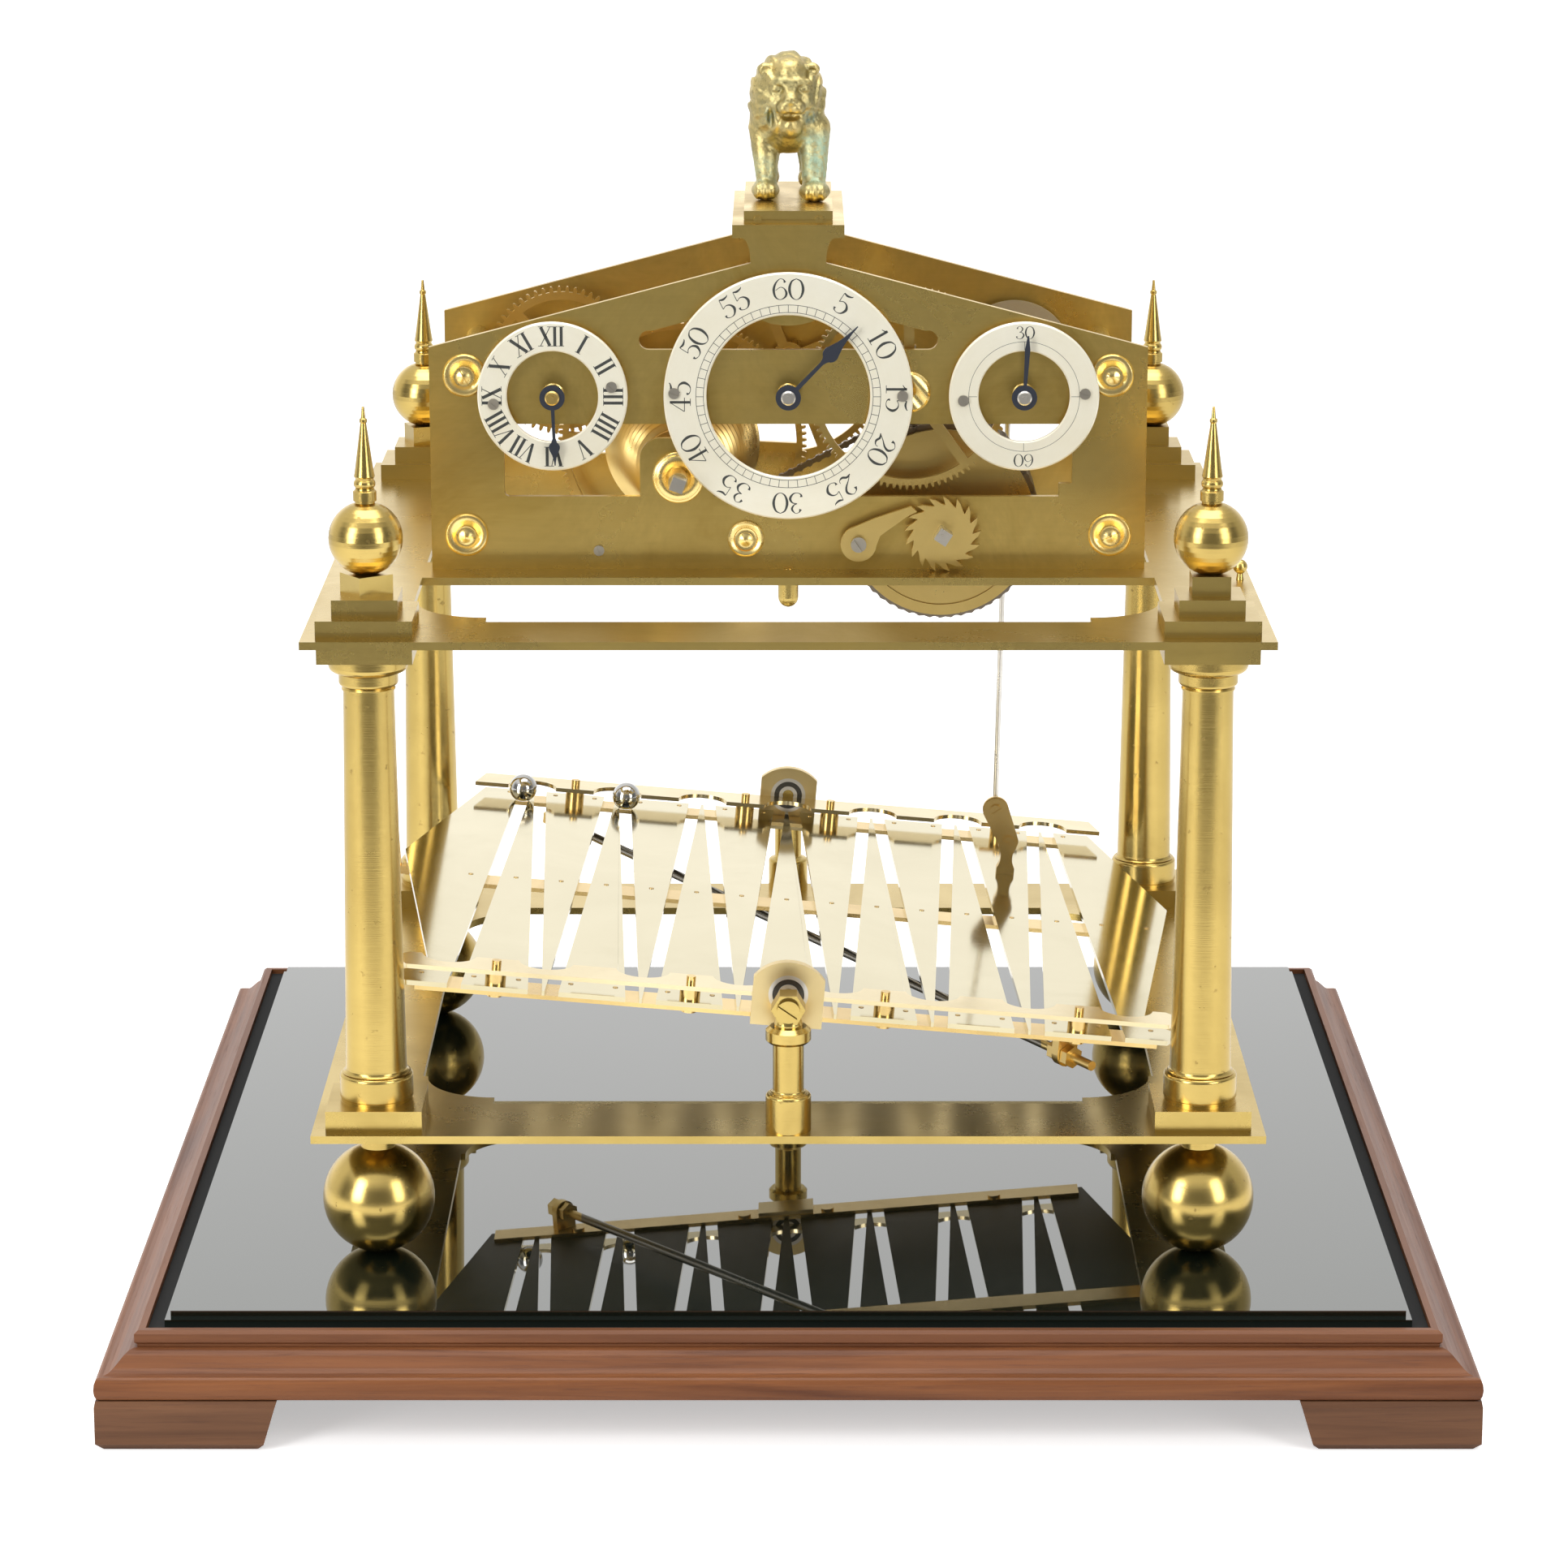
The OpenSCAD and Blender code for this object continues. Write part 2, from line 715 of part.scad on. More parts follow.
// Half profile of a column between plinth and abacus, with its end studs
function column_profile() =
  let (z0 = lower_top + plinth_h, z1 = upper_z - abacus_h,
     zr = z1 - ring_top_h, zq = zr - ring_low_h, zd = z0 + drum_h,
     stud = stud_d / 2, drum = drum_d / 2, foot = shaft_foot_d / 2, top = shaft_top_d / 2,
     low = ring_low_d / 2, high = ring_top_d / 2)
    concat(
      [[0, lower_z - neck_h + 1], [stud, lower_z - neck_h + 1], [stud, z0],
       [drum - 0.4, z0], [drum - 0.4, z0 + 1.2], [drum, z0 + 1.6], [drum, zd - 0.8]],
      [for (a = [0 : 15 : 90]) [drum - 1.6 + 1.6 * cos(a), zd - 0.8 + 1.6 * sin(a)]],
      [for (a = [0 : 15 : 75]) [foot + 1.5 - 1.5 * sin(a), zd + 2.9 - 1.9 * cos(a)]],
      [[foot, zd + 3.2], [top, zq - 1.6], [top + 0.6, zq - 1.5], [top + 0.6, zq - 0.9],
       [low - 1.6, zq]],
      [for (a = [-60 : 15 : 0]) [low - 1.4 + 1.4 * cos(a), zq + 1.6 + 1.4 * sin(a)]],
      [[low, zr - 0.5], [low - 0.6, zr], [high - 3.2, zr]],
      [for (a = [-75 : 15 : 0]) [high - 2.6 + 2.6 * cos(a), zr + 2.8 + 2.6 * sin(a)]],
      [[high, z1], [stud, z1], [stud, upper_top + step_low_h - 1],
       [0, upper_top + step_low_h - 1]]);

module columns() {
  color([0.88, 0.74, 0.42])
    at_corners()
      rotate_extrude()
        polygon(column_profile());
}

module abaci() {
  color([0.72, 0.58, 0.32])
    at_corners()
      difference() {
        translate([0, 0, upper_z - abacus_h])
          slab(abacus_w, abacus_w, abacus_h);
        translate([0, 0, upper_z - abacus_h - 1])
          cylinder(h = abacus_h + 2, d = hole_d);
      }
}

// Stepped blocks above the columns, bored for the studs. Two of the small blocks
// on top stand turned
module corner_steps() {
  block_turn = [35, 0, 0, 20];
  top_z = step_low_h + step_top_h;
  color([0.76, 0.61, 0.34])
    on_upper()
      for (i = [0 : 3])
        translate([corners[i][0] * column_x, corners[i][1] * column_y, 0])
          difference() {
            union() {
              slab(step_low_w, step_low_w, step_low_h);
              translate([0, 0, step_low_h - 1])
                slab(step_top_w, step_top_w, step_top_h + 1);
              translate([0, 0, top_z - 1])
                rotate(block_turn[i])
                  slab(block_w, block_w, block_h + 1);
            }
            translate([0, 0, -1])
              cylinder(h = top_z + block_h + 2, d = hole_d);
          }
}

// Ball finial with collar, bead and tapering spire; its stud holds the blocks down
function finial_profile() =
  let (z0 = step_low_h + step_top_h + block_h, r = finial_d / 2, zc = z0 + r - 0.6,
     neck = collar_d / 2, a0 = asin((neck - 0.7) / r), top = zc + r * cos(a0))
    concat(
      [[0, step_low_h + 0.5], [stud_d / 2, step_low_h + 0.5], [stud_d / 2, z0]],
      [for (a = [160 : -8 : 24]) [r * sin(a), zc + r * cos(a)]],
      [[neck - 0.7, top], [neck - 0.7, top + 0.6], [neck, top + 0.9], [neck, top + 4.6],
       [neck - 0.8, top + 5.2], [neck - 0.9, top + 5.8]],
      [for (a = [-60 : 20 : 60]) [neck - 1.9 + 1.6 * cos(a), top + 7.6 + 1.9 * sin(a)]],
      [[neck - 0.9, top + 9.9], [neck - 0.5, top + 10.5],
       [neck - 1.1, top + 14], [1.15, top + spire_h - 6.5], [1.5, top + spire_h - 6],
       [1.5, top + spire_h - 4.9], [0.9, top + spire_h - 4.5], [0.5, top + spire_h], [0, top + spire_h]]);

module finials() {
  color([0.9, 0.72, 0.35])
    on_upper()
      at_corners()
        rotate_extrude()
          polygon(finial_profile());
}

// Dome nuts under the cross strips and the small knob on the right rail
module frame_nuts() {
  color([0.75, 0.58, 0.32])
    on_upper() {
      for (s = [-1, 1])
        translate([0, s * nut_y, 0])
          rotate_extrude()
            polygon(concat(
              [[0, -plate_t - 12.4]],
              [for (a = [-75 : 15 : 0]) [4.2 * cos(a), -plate_t - 8.2 + 4.2 * sin(a)]],
              [[4.2, -plate_t], [2, -plate_t], [2, -0.2], [0, -0.2]]));
      translate([plate_w / 2 - 4.5, -72, 0])
        rotate_extrude()
          polygon(concat(
            [[0, 0], [1.6, 0], [1.2, 2.5]],
            [for (a = [-60 : 15 : 75]) [3 * cos(a), 5.4 + 3 * sin(a)]],
            [[0, 8.4]]));
    }
}

// ---------------------------------------------------------------- pivots

function post_profile() =
  let (base = post_base_d / 2, shaft = post_shaft_d / 2, z0 = lower_top)
    concat(
      [[0, lower_z + 0.2], [2.5, lower_z + 0.2], [2.5, z0], [base, z0], [base, z0 + 14]],
      [for (a = [0 : 15 : 90]) [base - 1.4 + 1.4 * cos(a), z0 + 14 + 1.4 * sin(a)]],
      [for (a = [0 : 15 : 75]) [shaft + 1.2 - 1.2 * sin(a), z0 + 16.8 - 1.2 * cos(a)]],
      [[shaft, z0 + 17], [shaft, z0 + 36.5], [base - 1.2, z0 + 36.5], [base, z0 + 37.7],
       [base, z0 + 41.6], [base - 1.8, z0 + 43.2], [5.6, z0 + 43.2], [5.6, z0 + 44.2],
       [5.2, z0 + 46.5], [0, z0 + 46.5]]);

// One post at each end of the table's pivot line, with a six-sided head
module pivot_posts() {
  color([0.87, 0.7, 0.36])
    for (s = [-1, 1])
      mirror([0, s > 0 ? 1 : 0, 0])
        difference() {
          union() {
            translate([0, -post_y, 0])
              rotate_extrude()
                polygon(post_profile());
            translate([0, -post_y + 5, pivot_z])
              rotate([90, 0, 0])
                cylinder(h = 10, d = post_head_d, $fn = 6);
          }
          bar_y([0, pivot_z], -post_y - 6, -post_y + 6, pin_d / 2 + fit_gap);
        }
}

// Slotted pivot screws: their plain ends run in the ball bearings
module pivot_screws() {
  color([0.9, 0.78, 0.5])
    for (s = [-1, 1])
      mirror([0, s > 0 ? 1 : 0, 0])
        difference() {
          union() {
            bar_y([0, pivot_z], -post_y - 7.6, -post_y - 5, 4.6);
            bar_y([0, pivot_z], -post_y - 5.1, -table_d / 2 - 0.2, pin_d / 2);
          }
          translate([0, -post_y - 7.6, pivot_z])
            rotate([0, 35, 0])
              translate([-6, -1, -0.5])
                cube([12, 2.2, 1]);
        }
}

// ---------------------------------------------------------------- table

// Outline of all the tongues together, [u, v] in the table's plane
function table_outline() =
  let (f = table_front_w / 2, w = table_w / 2, r = table_rear_w / 2, d = table_d / 2)
    [[-f + 4, -d], [f - 4, -d], [f, -d + 8], [f, -d + 13], [f - 12, -d + 26], [w, 40],
     [r, d], [-r, d], [-w, 40], [-f + 12, -d + 26], [-f, -d + 13], [-f, -d + 8]];

// One straight slot; it runs out through both edges of the table
module slot_2d(k) {
  a = leg_front(k);
  b = leg_rear(k);
  past = turn_inset + 3;
  translate(a)
    rotate(heading(a, b))
      translate([-past, -slot_w / 2])
        square([span(a, b) + 2 * past, slot_w]);
}

// Tapered tongues, turn about with their tips to the rear and to the front, between
// two end plates: the ball runs on the edges of neighbouring tongues
module track_plate() {
  color([0.94, 0.88, 0.68])
    on_table()
      translate([0, 0, track_low])
        linear_extrude(height = track_t)
          difference() {
            polygon(table_outline());
            for (k = [0 : 2 * rear_turns - 1])
              slot_2d(k);
            holes_2d(bar_screws, bar_screw_r);
            holes_2d(stud_places, stud_r + fit_gap);
          }
}

module holes_2d(places, r) {
  for (p = places)
    translate(p)
      circle(r = r);
}

// Three cross bars carry the tongues; the set has its slotted screws with it
module tie_bar() {
  color([0.9, 0.8, 0.52])
    on_table() {
      translate([0, 0, tie_low])
        linear_extrude(height = tie_bar_t)
          difference() {
            for (b = bars)
              translate([-b[0], b[1]])
                square([2 * b[0], b[2] - b[1]]);
            holes_2d(bar_screws, bar_screw_r);
            holes_2d(stud_places, stud_r + fit_gap);
          }
      for (p = bar_screws)
        translate([p[0], p[1], 0])
          difference() {
            translate([0, 0, tie_low])
              cylinder(h = track_top - tie_low + 0.2, r = bar_screw_r - fit_gap);
            translate([-2, -0.25, track_top - 0.3])
              cube([4, 0.5, 1]);
          }
    }
}

// Guard rails lie over the turns and are scalloped round each of them
module guard_rails() {
  color([0.93, 0.86, 0.62])
    on_table()
      translate([0, 0, guard_low])
        linear_extrude(height = guard_t)
          difference() {
            intersection() {
              polygon(table_outline());
              for (s = [-1, 1])
                translate([0, s * (table_d - guard_w) / 2])
                  square([table_w, guard_w], center = true);
            }
            for (i = [0 : front_turns - 1])
              translate([front_turn_u(i), -turn_v])
                circle(r = scallop_r);
            for (i = [0 : rear_turns - 1])
              translate([rear_turn_u(i), turn_v])
                circle(r = scallop_r);
            holes_2d(stud_places, stud_r + fit_gap);
          }
}

// Spacers, studs and round nuts of the guard rails
module table_spacers() {
  color([0.82, 0.64, 0.3])
    on_table()
      for (p = stud_places)
        translate([p[0], p[1], 0])
          union() {
            translate([0, 0, tie_low - 1.6])
              cylinder(h = 1.6, r = 3);
            translate([0, 0, tie_low - 0.1])
              cylinder(h = guard_top - tie_low + 0.2, r = stud_r);
            translate([0, 0, track_top])
              cylinder(h = guard_gap, r = 4.2);
            translate([0, 0, guard_top])
              cylinder(h = 2.8, r = 1.9);
          }
}

// Upright plate with an arched top that carries a bearing
module bracket_2d(w, top) {
  arch_r = 18;
  difference() {
    union() {
      translate([-w / 2, tie_low - 1.8])
        square([w, 1.8 - tie_low]);
      intersection() {
        translate([0, top - arch_r])
          circle(r = arch_r);
        translate([-w / 2, -eps])
          square([w, top + 1]);
      }
    }
    circle(d = bearing_d);
  }
}

// Bearing brackets at both ends, each with its foot under the end bar
module bearing_brackets() {
  color([0.88, 0.78, 0.48])
    on_table()
      for (s = [0, 1])
        mirror([0, s, 0])
          let (w = s == 0 ? bracket_w : rear_bracket_w, top = s == 0 ? 13.5 : 12.9) {
            along_y(-table_d / 2 - bracket_t, -table_d / 2)
              bracket_2d(w, top);
            translate([-w / 2, -table_d / 2 - eps, tie_low - 1.8])
              cube([w, 12, 1.8]);
          }
}

// Sealed ball bearings, pressed into the brackets
module ball_bearings() {
  color([0.75, 0.76, 0.78])
    on_table()
      for (s = [-1, 1])
        mirror([0, s > 0 ? 1 : 0, 0])
          translate([0, -table_d / 2, 0])
            rotate([90, 0, 0])
              rotate_extrude()
                polygon([[pin_d / 2 + fit_gap, 0], [bearing_d / 2, 0],
                     [bearing_d / 2, bracket_t], [bearing_d / 2 - 1.6, bracket_t],
                     [bearing_d / 2 - 1.8, bracket_t - 0.5],
                     [pin_d / 2 + 1.8, bracket_t - 0.5],
                     [pin_d / 2 + 1.6, bracket_t], [pin_d / 2 + fit_gap, bracket_t]]);
}

module truss_rod() {
  len = span(truss_a, truss_b);
  color([0.62, 0.52, 0.34])
    on_table() {
      for (p = [truss_a, truss_b])
        difference() {
          union() {
            translate([p[0], p[1], truss_z])
              rotate(heading(truss_a, truss_b))
                translate([-2, -5, 0])
                  cube([4, 10, tie_low - truss_z]);
            translate([p[0], p[1], truss_z])
              rotate(heading(truss_a, truss_b))
                rotate([0, 90, 0])
                  translate([0, 0, -2])
                    cylinder(h = 4, r = 5);
          }
          truss_bar(truss_r + fit_gap, len);
        }
      truss_bar(truss_r, len);
      for (t = [-7, 2.2, len - 6.2, len + 2.2])
        translate([truss_a[0], truss_a[1], truss_z])
          rotate(heading(truss_a, truss_b))
            rotate([0, 90, 0])
              translate([0, 0, t])
                difference() {
                  cylinder(h = 4, d = 9.2, $fn = 6);
                  translate([0, 0, -1])
                    cylinder(h = 6, r = truss_r + fit_gap);
                }
    }
}

module truss_bar(r, len) {
  translate([truss_a[0], truss_a[1], truss_z])
    rotate(heading(truss_a, truss_b))
      rotate([0, 90, 0])
        translate([0, 0, -9])
          cylinder(h = len + 27, r = r);
}

// Outline that tapers between two round ends
module taper_2d(a, ra, b, rb) {
  h = heading(a, b);
  t = acos((ra - rb) / span(a, b));
  translate(a)
    circle(r = ra);
  translate(b)
    circle(r = rb);
  polygon([for (e = [[a, ra, t], [b, rb, t], [b, rb, -t], [a, ra, -t]])
    e[0] + e[1] * [cos(h + e[2]), sin(h + e[2])]]);
}

// Link between table and rod: a waisted lug, a tapering plate and the screw the rod
// turns on
module rod_link() {
  color([0.85, 0.68, 0.36])
    on_table() {
      along_y(link_v + 2, link_v + 6.5)
        difference() {
          union() {
            translate(link_low)
              circle(r = 4);
            translate([link_low[0] - 4, track_top])
              square([8, link_low[1] - track_top]);
          }
          for (s = [-1, 1])
            translate([link_low[0] + 11.6 * s, track_top + 7.4])
              circle(r = 9);
        }
      difference() {
        along_y(link_v, link_v + 2)
          taper_2d(link_top, link_top_r, link_low, link_low_r);
        for (p = [link_low, link_top])
          bar_y(p, link_v - 1, link_v + 3, 1.5 + fit_gap);
      }
      difference() {
        bar_y(link_top, link_v - 0.8, link_v, 5.3);
        bar_y(link_top, link_v - 1, link_v + 1, 1.5 + fit_gap);
      }
      screw_y(link_low, link_v, 2.5, 1.6, 1.5, 2, 20);
      screw_y(link_top, link_v - 0.8, 2.5, 1.6, 1.5, 8.8, -35);
      difference() {
        bar_y(link_top, link_v + 7.2, link_v + 8.8, 2.8);
        bar_y(link_top, link_v + 7, link_v + 9, 1.5 + fit_gap);
      }
    }
}

// Thin stiff wire with its small block under the table's left edge
module trip_wire() {
  v = 38;
  lean = 8;
  color([0.72, 0.62, 0.4])
    on_table() {
      translate([-table_w / 2 + 1, v - 4, track_low - 8])
        difference() {
          union() {
            cube([4, 8, 8]);
            translate([-3.4, 1, 0])
              cube([3.6, 6, 3.4]);
          }
          translate([-1.8, 4, -1])
            rotate([0, -lean, 0])
              cylinder(h = 12, r = 0.35);
        }
      translate([-table_w / 2 - 0.8, v, track_low - 9])
        rotate([0, -lean, 0])
          cylinder(h = 54, r = 0.3);
    }
}

// The balls stand in the slot close to two of the rear turns
module ball_at(k) {
  color([0.7, 0.71, 0.72])
    on_table()
      translate([leg_rear(k)[0], leg_rear(k)[1], track_top + ball_rise])
        sphere(d = ball_d);
}

module ball_left() {
  ball_at(0);
}

module ball_right() {
  ball_at(3);
}

// ---------------------------------------------------------------- movement plates

// Gable outline with a concave neck under the turret's top
module move_outline_2d() {
  w = move_w / 2;
  waist = turret_waist / 2;
  flare = turret_w / 2 - waist;
  rise = move_top_h - move_roof_h;
  right = concat(
    [[w, 0], [w, move_side_h], [waist, move_roof_h]],
    [for (a = [15 : 15 : 90]) [waist + flare * (1 - cos(a)), move_roof_h + rise * sin(a)]]);
  polygon(concat(right, [for (i = [len(right) - 1 : -1 : 0]) [-right[i][0], right[i][1]]]));
}

// Rectangle with rounded corners between two corners a and b
module rounded_2d(a, b, r) {
  translate([a[0] + r, a[1]])
    square([b[0] - a[0] - 2 * r, b[1] - a[1]]);
  translate([a[0], a[1] + r])
    square([b[0] - a[0], b[1] - a[1] - 2 * r]);
  for (x = [a[0] + r, b[0] - r], z = [a[1] + r, b[1] - r])
    translate([x, z])
      circle(r = r);
}

// Long window; a tongue with round shoulders stands in it for the winding arbor
module window_2d() {
  w = window_w / 2;
  difference() {
    rounded_2d([-w, window_low], [w, window_top], 2);
    rounded_2d([-fusee_x - 16, window_low - 20], [-fusee_x + 14.5, window_top - 6], 8.5);
    translate([w - 5.5, window_low - 1])
      square([6.5, 6.5]);
  }
}

// Cut-out under the gable: flat below, sloping above, with round ends and a
// round boss over the middle
module lens_2d() {
  w = lens_w / 2;
  end_r = 4;
  slope = (move_roof_h - move_side_h) / (move_w / 2 - turret_waist / 2);
  difference() {
    union() {
      polygon([[-w + end_r, lens_low], [w - end_r, lens_low], [w, lens_low + end_r],
           [w - 1.2, lens_low + 1.7 * end_r], [0, lens_low + 1.7 * end_r + slope * w],
           [-w + 1.2, lens_low + 1.7 * end_r], [-w, lens_low + end_r]]);
      for (s = [-1, 1])
        translate([s * (w - end_r), lens_low + end_r])
          circle(r = end_r);
    }
    translate([0, lens_low + 12 + 26])
      circle(r = 28);
  }
}

module move_plate(y0, holes) {
  difference() {
    along_y(y0, y0 + move_t)
      difference() {
        move_outline_2d();
        window_2d();
        lens_2d();
      }
    for (h = holes)
      bar_y(h[0], y0 - 1, y0 + move_t + 1, h[1] + fit_gap);
  }
}

function at_radius(points, r) = [for (p = points) [p, r]];

module front_plate() {
  color([0.6, 0.48, 0.24])
    on_upper()
      move_plate(front_y, concat(
        at_radius(pillar_places, pillar_screw_r),
        at_radius([hour_c, minute_c, seconds_c], front_pivot_r),
        at_radius([intermediate_c], pivot_r),
        [[fusee_c, winding_r], [barrel_c, 3], [click_c, 1.5]]));
}

module rear_plate() {
  color([0.56, 0.44, 0.22])
    on_upper()
      move_plate(rear_in, concat(
        at_radius(pillar_places, pillar_screw_r),
        at_radius([hour_c, minute_c, intermediate_c, fusee_c], pivot_r),
        [[seconds_c, front_pivot_r], [barrel_c, 3]]));
}

// Pillars hold the two plates apart; their reduced ends pass through the plates
module pillars() {
  color([0.82, 0.66, 0.34])
    on_upper()
      for (p = pillar_places) {
        bar_y(p, front_in, rear_in, pillar_d / 2);
        bar_y(p, front_y - 1.4, -front_y + 1.4, pillar_screw_r);
      }
}

// Broad washers and slotted heads on the pillars' ends
module pillar_screws() {
  slots = [10, -25, 60, 35];
  color([0.86, 0.7, 0.38])
    on_upper()
      for (s = [0, 1])
        mirror([0, s, 0])
          for (i = [0 : 3]) {
            p = pillar_places[i];
            turned_y(p, front_y - 1.5,
              [[pillar_screw_r + fit_gap, 0], [8.3, 0], [8.9, 0.6], [8.9, 1.5],
               [pillar_screw_r + fit_gap, 1.5]]);
            screw_y(p, front_y - 1.5, 4.2, 2.4, 0, 0, slots[i]);
          }
}

module top_slab() {
  color([0.6, 0.48, 0.26])
    on_upper()
      translate([-slab_w / 2, front_y, move_top_h])
        cube([slab_w, move_d + 5.8, slab_h]);
}

// Stepped plinth with a fine groove and two screws in its front
module lion_plinth() {
  y0 = front_y + 3.5;
  depth = 2 * 47.2;
  z0 = move_top_h + slab_h;
  screw_x = lion_plinth_w / 2 - 5.6;
  color([0.62, 0.5, 0.27])
    on_upper() {
      difference() {
        union() {
          translate([-lion_plinth_w / 2, y0, z0])
            cube([lion_plinth_w, depth, 1.5]);
          translate([-lion_plinth_w / 2 + 0.4, y0 + 0.4, z0 + 1.4])
            cube([lion_plinth_w - 0.8, depth - 0.8, 0.6]);
          translate([-lion_plinth_w / 2, y0, z0 + 1.9])
            cube([lion_plinth_w, depth, lion_plinth_h - 1.9]);
        }
        for (x = [-screw_x, screw_x])
          bar_y([x, z0 + 1.7], y0 - 1, y0 + 6, 1 + fit_gap);
      }
      for (x = [-screw_x, screw_x])
        screw_y([x, z0 + 1.7], y0, 1.6, 1, 1, 4, 90);
    }
}

// ---------------------------------------------------------------- lion

// Limb that tapers between two balls
module limb(a, ra, b, rb) {
  hull() {
    translate(a)
      sphere(r = ra, $fn = 20);
    translate(b)
      sphere(r = rb, $fn = 20);
  }
}

// A walking lion that faces the front, with a full mane and parted jaws
module lion() {
  scale_h = lion_h / 62;
  color([0.76, 0.68, 0.42])
    on_upper()
      translate([0, 0, lion_z])
        scale(scale_h)
          difference() {
            union() {
              limb([-0.8, 2, 44], 14.6, [-0.8, -1, 31], 13.6);
              limb([0, 6, 33], 14, [0, 34, 33], 11.5);
              limb([-10.3, -4, 30], 7, [-9.8, -10, 6], 4.6);
              limb([10.8, -6, 30], 7, [10.6, -15, 6], 4.8);
              limb([-8.6, 34, 28], 7.4, [-8.4, 38, 6], 4);
              limb([9, 33, 28], 7.4, [8.8, 32, 6], 4);
              limb([-0.8, -10, 36], 8.2, [-0.8, -15, 33], 6.4);
              for (p = [[-9.8, -13, 4.4], [10.6, -18.4, 4.6], [-8.4, 35, 4.2], [8.8, 29, 4.2]])
                translate(p)
                  sphere(r = 5.6, $fn = 24);
              translate([-0.8, -1, 53])
                sphere(r = 8.6, $fn = 24);
              for (s = [-1, 1])
                translate([-0.8 + s * 9.6, 1, 52])
                  sphere(r = 4, $fn = 16);
              translate([0, 45, 24])
                rotate([90, 0, 90])
                  rotate_extrude()
                    translate([6.5, 0])
                      circle(r = 1.7);
            }
            translate([-40, -40, -20])
              cube([80, 120, 20]);
          }
}

// ---------------------------------------------------------------- dials

// Ring dial with the holes of its two screws
module dial_ring(c, outer_r, inner_r, screws) {
  color([0.86, 0.86, 0.82])
    on_upper()
      difference() {
        turned_y(c, dial_front,
          [[inner_r + 0.5, 0], [outer_r - 0.6, 0], [outer_r, 0.6], [outer_r, dial_t],
           [inner_r, dial_t], [inner_r, 0.5]]);
        for (s = screws)
          bar_y(c + s, dial_front - 1, dial_back + 1, dial_screw_r + fit_gap);
      }
}

module hour_dial() {
  dial_ring(hour_c, side_dial_r, side_hole_r, hour_screws);
}

module minute_dial() {
  dial_ring(minute_c, minute_dial_r, minute_hole_r, minute_screws);
}

module seconds_dial() {
  dial_ring(seconds_c, side_dial_r, side_hole_r, seconds_screws);
}

// Short feet that stand the dials off the front plate; one stands on a bush
module dial_feet() {
  color([0.7, 0.56, 0.3])
    on_upper()
      for (p = dial_screw_places)
        difference() {
          bar_y(p, dial_back, front_y - (span(p, intermediate_c) < 8.4 ? 1.5 : 0), 3);
          bar_y(p, dial_back - 1, front_y + 1, dial_screw_r + fit_gap);
        }
}

// Dial screws, the click's shouldered screw and a small screw low on the front plate
module small_screws() {
  slots = [40, 40, 20, 60, 55, 15];
  color([0.8, 0.78, 0.7])
    on_upper() {
      for (i = [0 : 5])
        screw_y(dial_screw_places[i], dial_front, 2.3, 1, dial_screw_r, dial_t + dial_gap - 2, slots[i]);
      screw_y([-78.6, 7.9], front_y, 2.2, 1, 0, 0, 75);
      screw_y(click_c, front_y - 5.8, 3.2, 1.6, 1.5, 5.6 + move_t, 55);
      difference() {
        bar_y(click_c, front_y - 2.9, front_y, 4);
        bar_y(click_c, front_y - 4, front_y + 1, 1.5 + fit_gap);
      }
    }
}

// Turned bush with a raised rim round its bore
module bush(c, r, h, bore_r) {
  turned_y(c, front_y - h,
    [[bore_r, 0.4], [bore_r + 1.2, 0], [r - 1.4, 0], [r - 1.2, 0.5], [r - 0.4, 0.5],
     [r, 0.9], [r, h], [bore_r, h]]);
}

// Bushes of the arbors on both plates, and the low screwed boss
module plate_bushes() {
  boss = [-17.6, 12.9];
  color([0.78, 0.62, 0.32])
    on_upper() {
      for (c = [hour_c, minute_c, seconds_c])
        bush(c, 4.6, 1.4, front_pivot_r + fit_gap);
      difference() {
        bush(fusee_c, 10.7, 3, winding_r + fit_gap);
        for (s = [-1, 1])
          bar_y(fusee_c + [s * 7.2, 0], front_y - 4, front_y + 1, 1.2 + fit_gap);
      }
      for (s = [-1, 1])
        screw_y(fusee_c + [s * 7.2, 0], front_y - 2.6, 2, 1, 1.2, 2.4, 30 * s);
      turned_y(boss, front_y - 2, [[0, 0.6], [4.6, 0.6], [5, 0], [6.6, 0], [7.5, 0.8], [7.5, 2], [0, 2]]);
      screw_y(boss, front_y - 1.4, 2.85, 1.4, 0, 0, 60);
      turned_y(intermediate_c, front_y - 1.5,
        [[pivot_r + fit_gap, 0.3], [2.4, 0], [7.4, 0], [8.4, 0.8], [8.4, 1.5], [pivot_r + fit_gap, 1.5]]);
      mirror([0, 1, 0]) {
        for (c = [hour_c, minute_c, intermediate_c, fusee_c])
          bush(c, 5, 1.4, pivot_r + fit_gap);
        bush(seconds_c, 5, 1.4, front_pivot_r + fit_gap);
      }
    }
}

// ---------------------------------------------------------------- power

// Fixed arbor of the barrel with its square for setting up
module barrel_arbor() {
  color([0.7, 0.7, 0.7])
    on_upper() {
      bar_y(barrel_c, front_y - 3, -front_y + 1, 3);
      translate([barrel_c[0], 0, barrel_c[1]])
        rotate([0, 33, 0])
          translate([-2.85, front_y - 12, -2.85])
            cube([5.7, 9.2, 5.7]);
    }
}

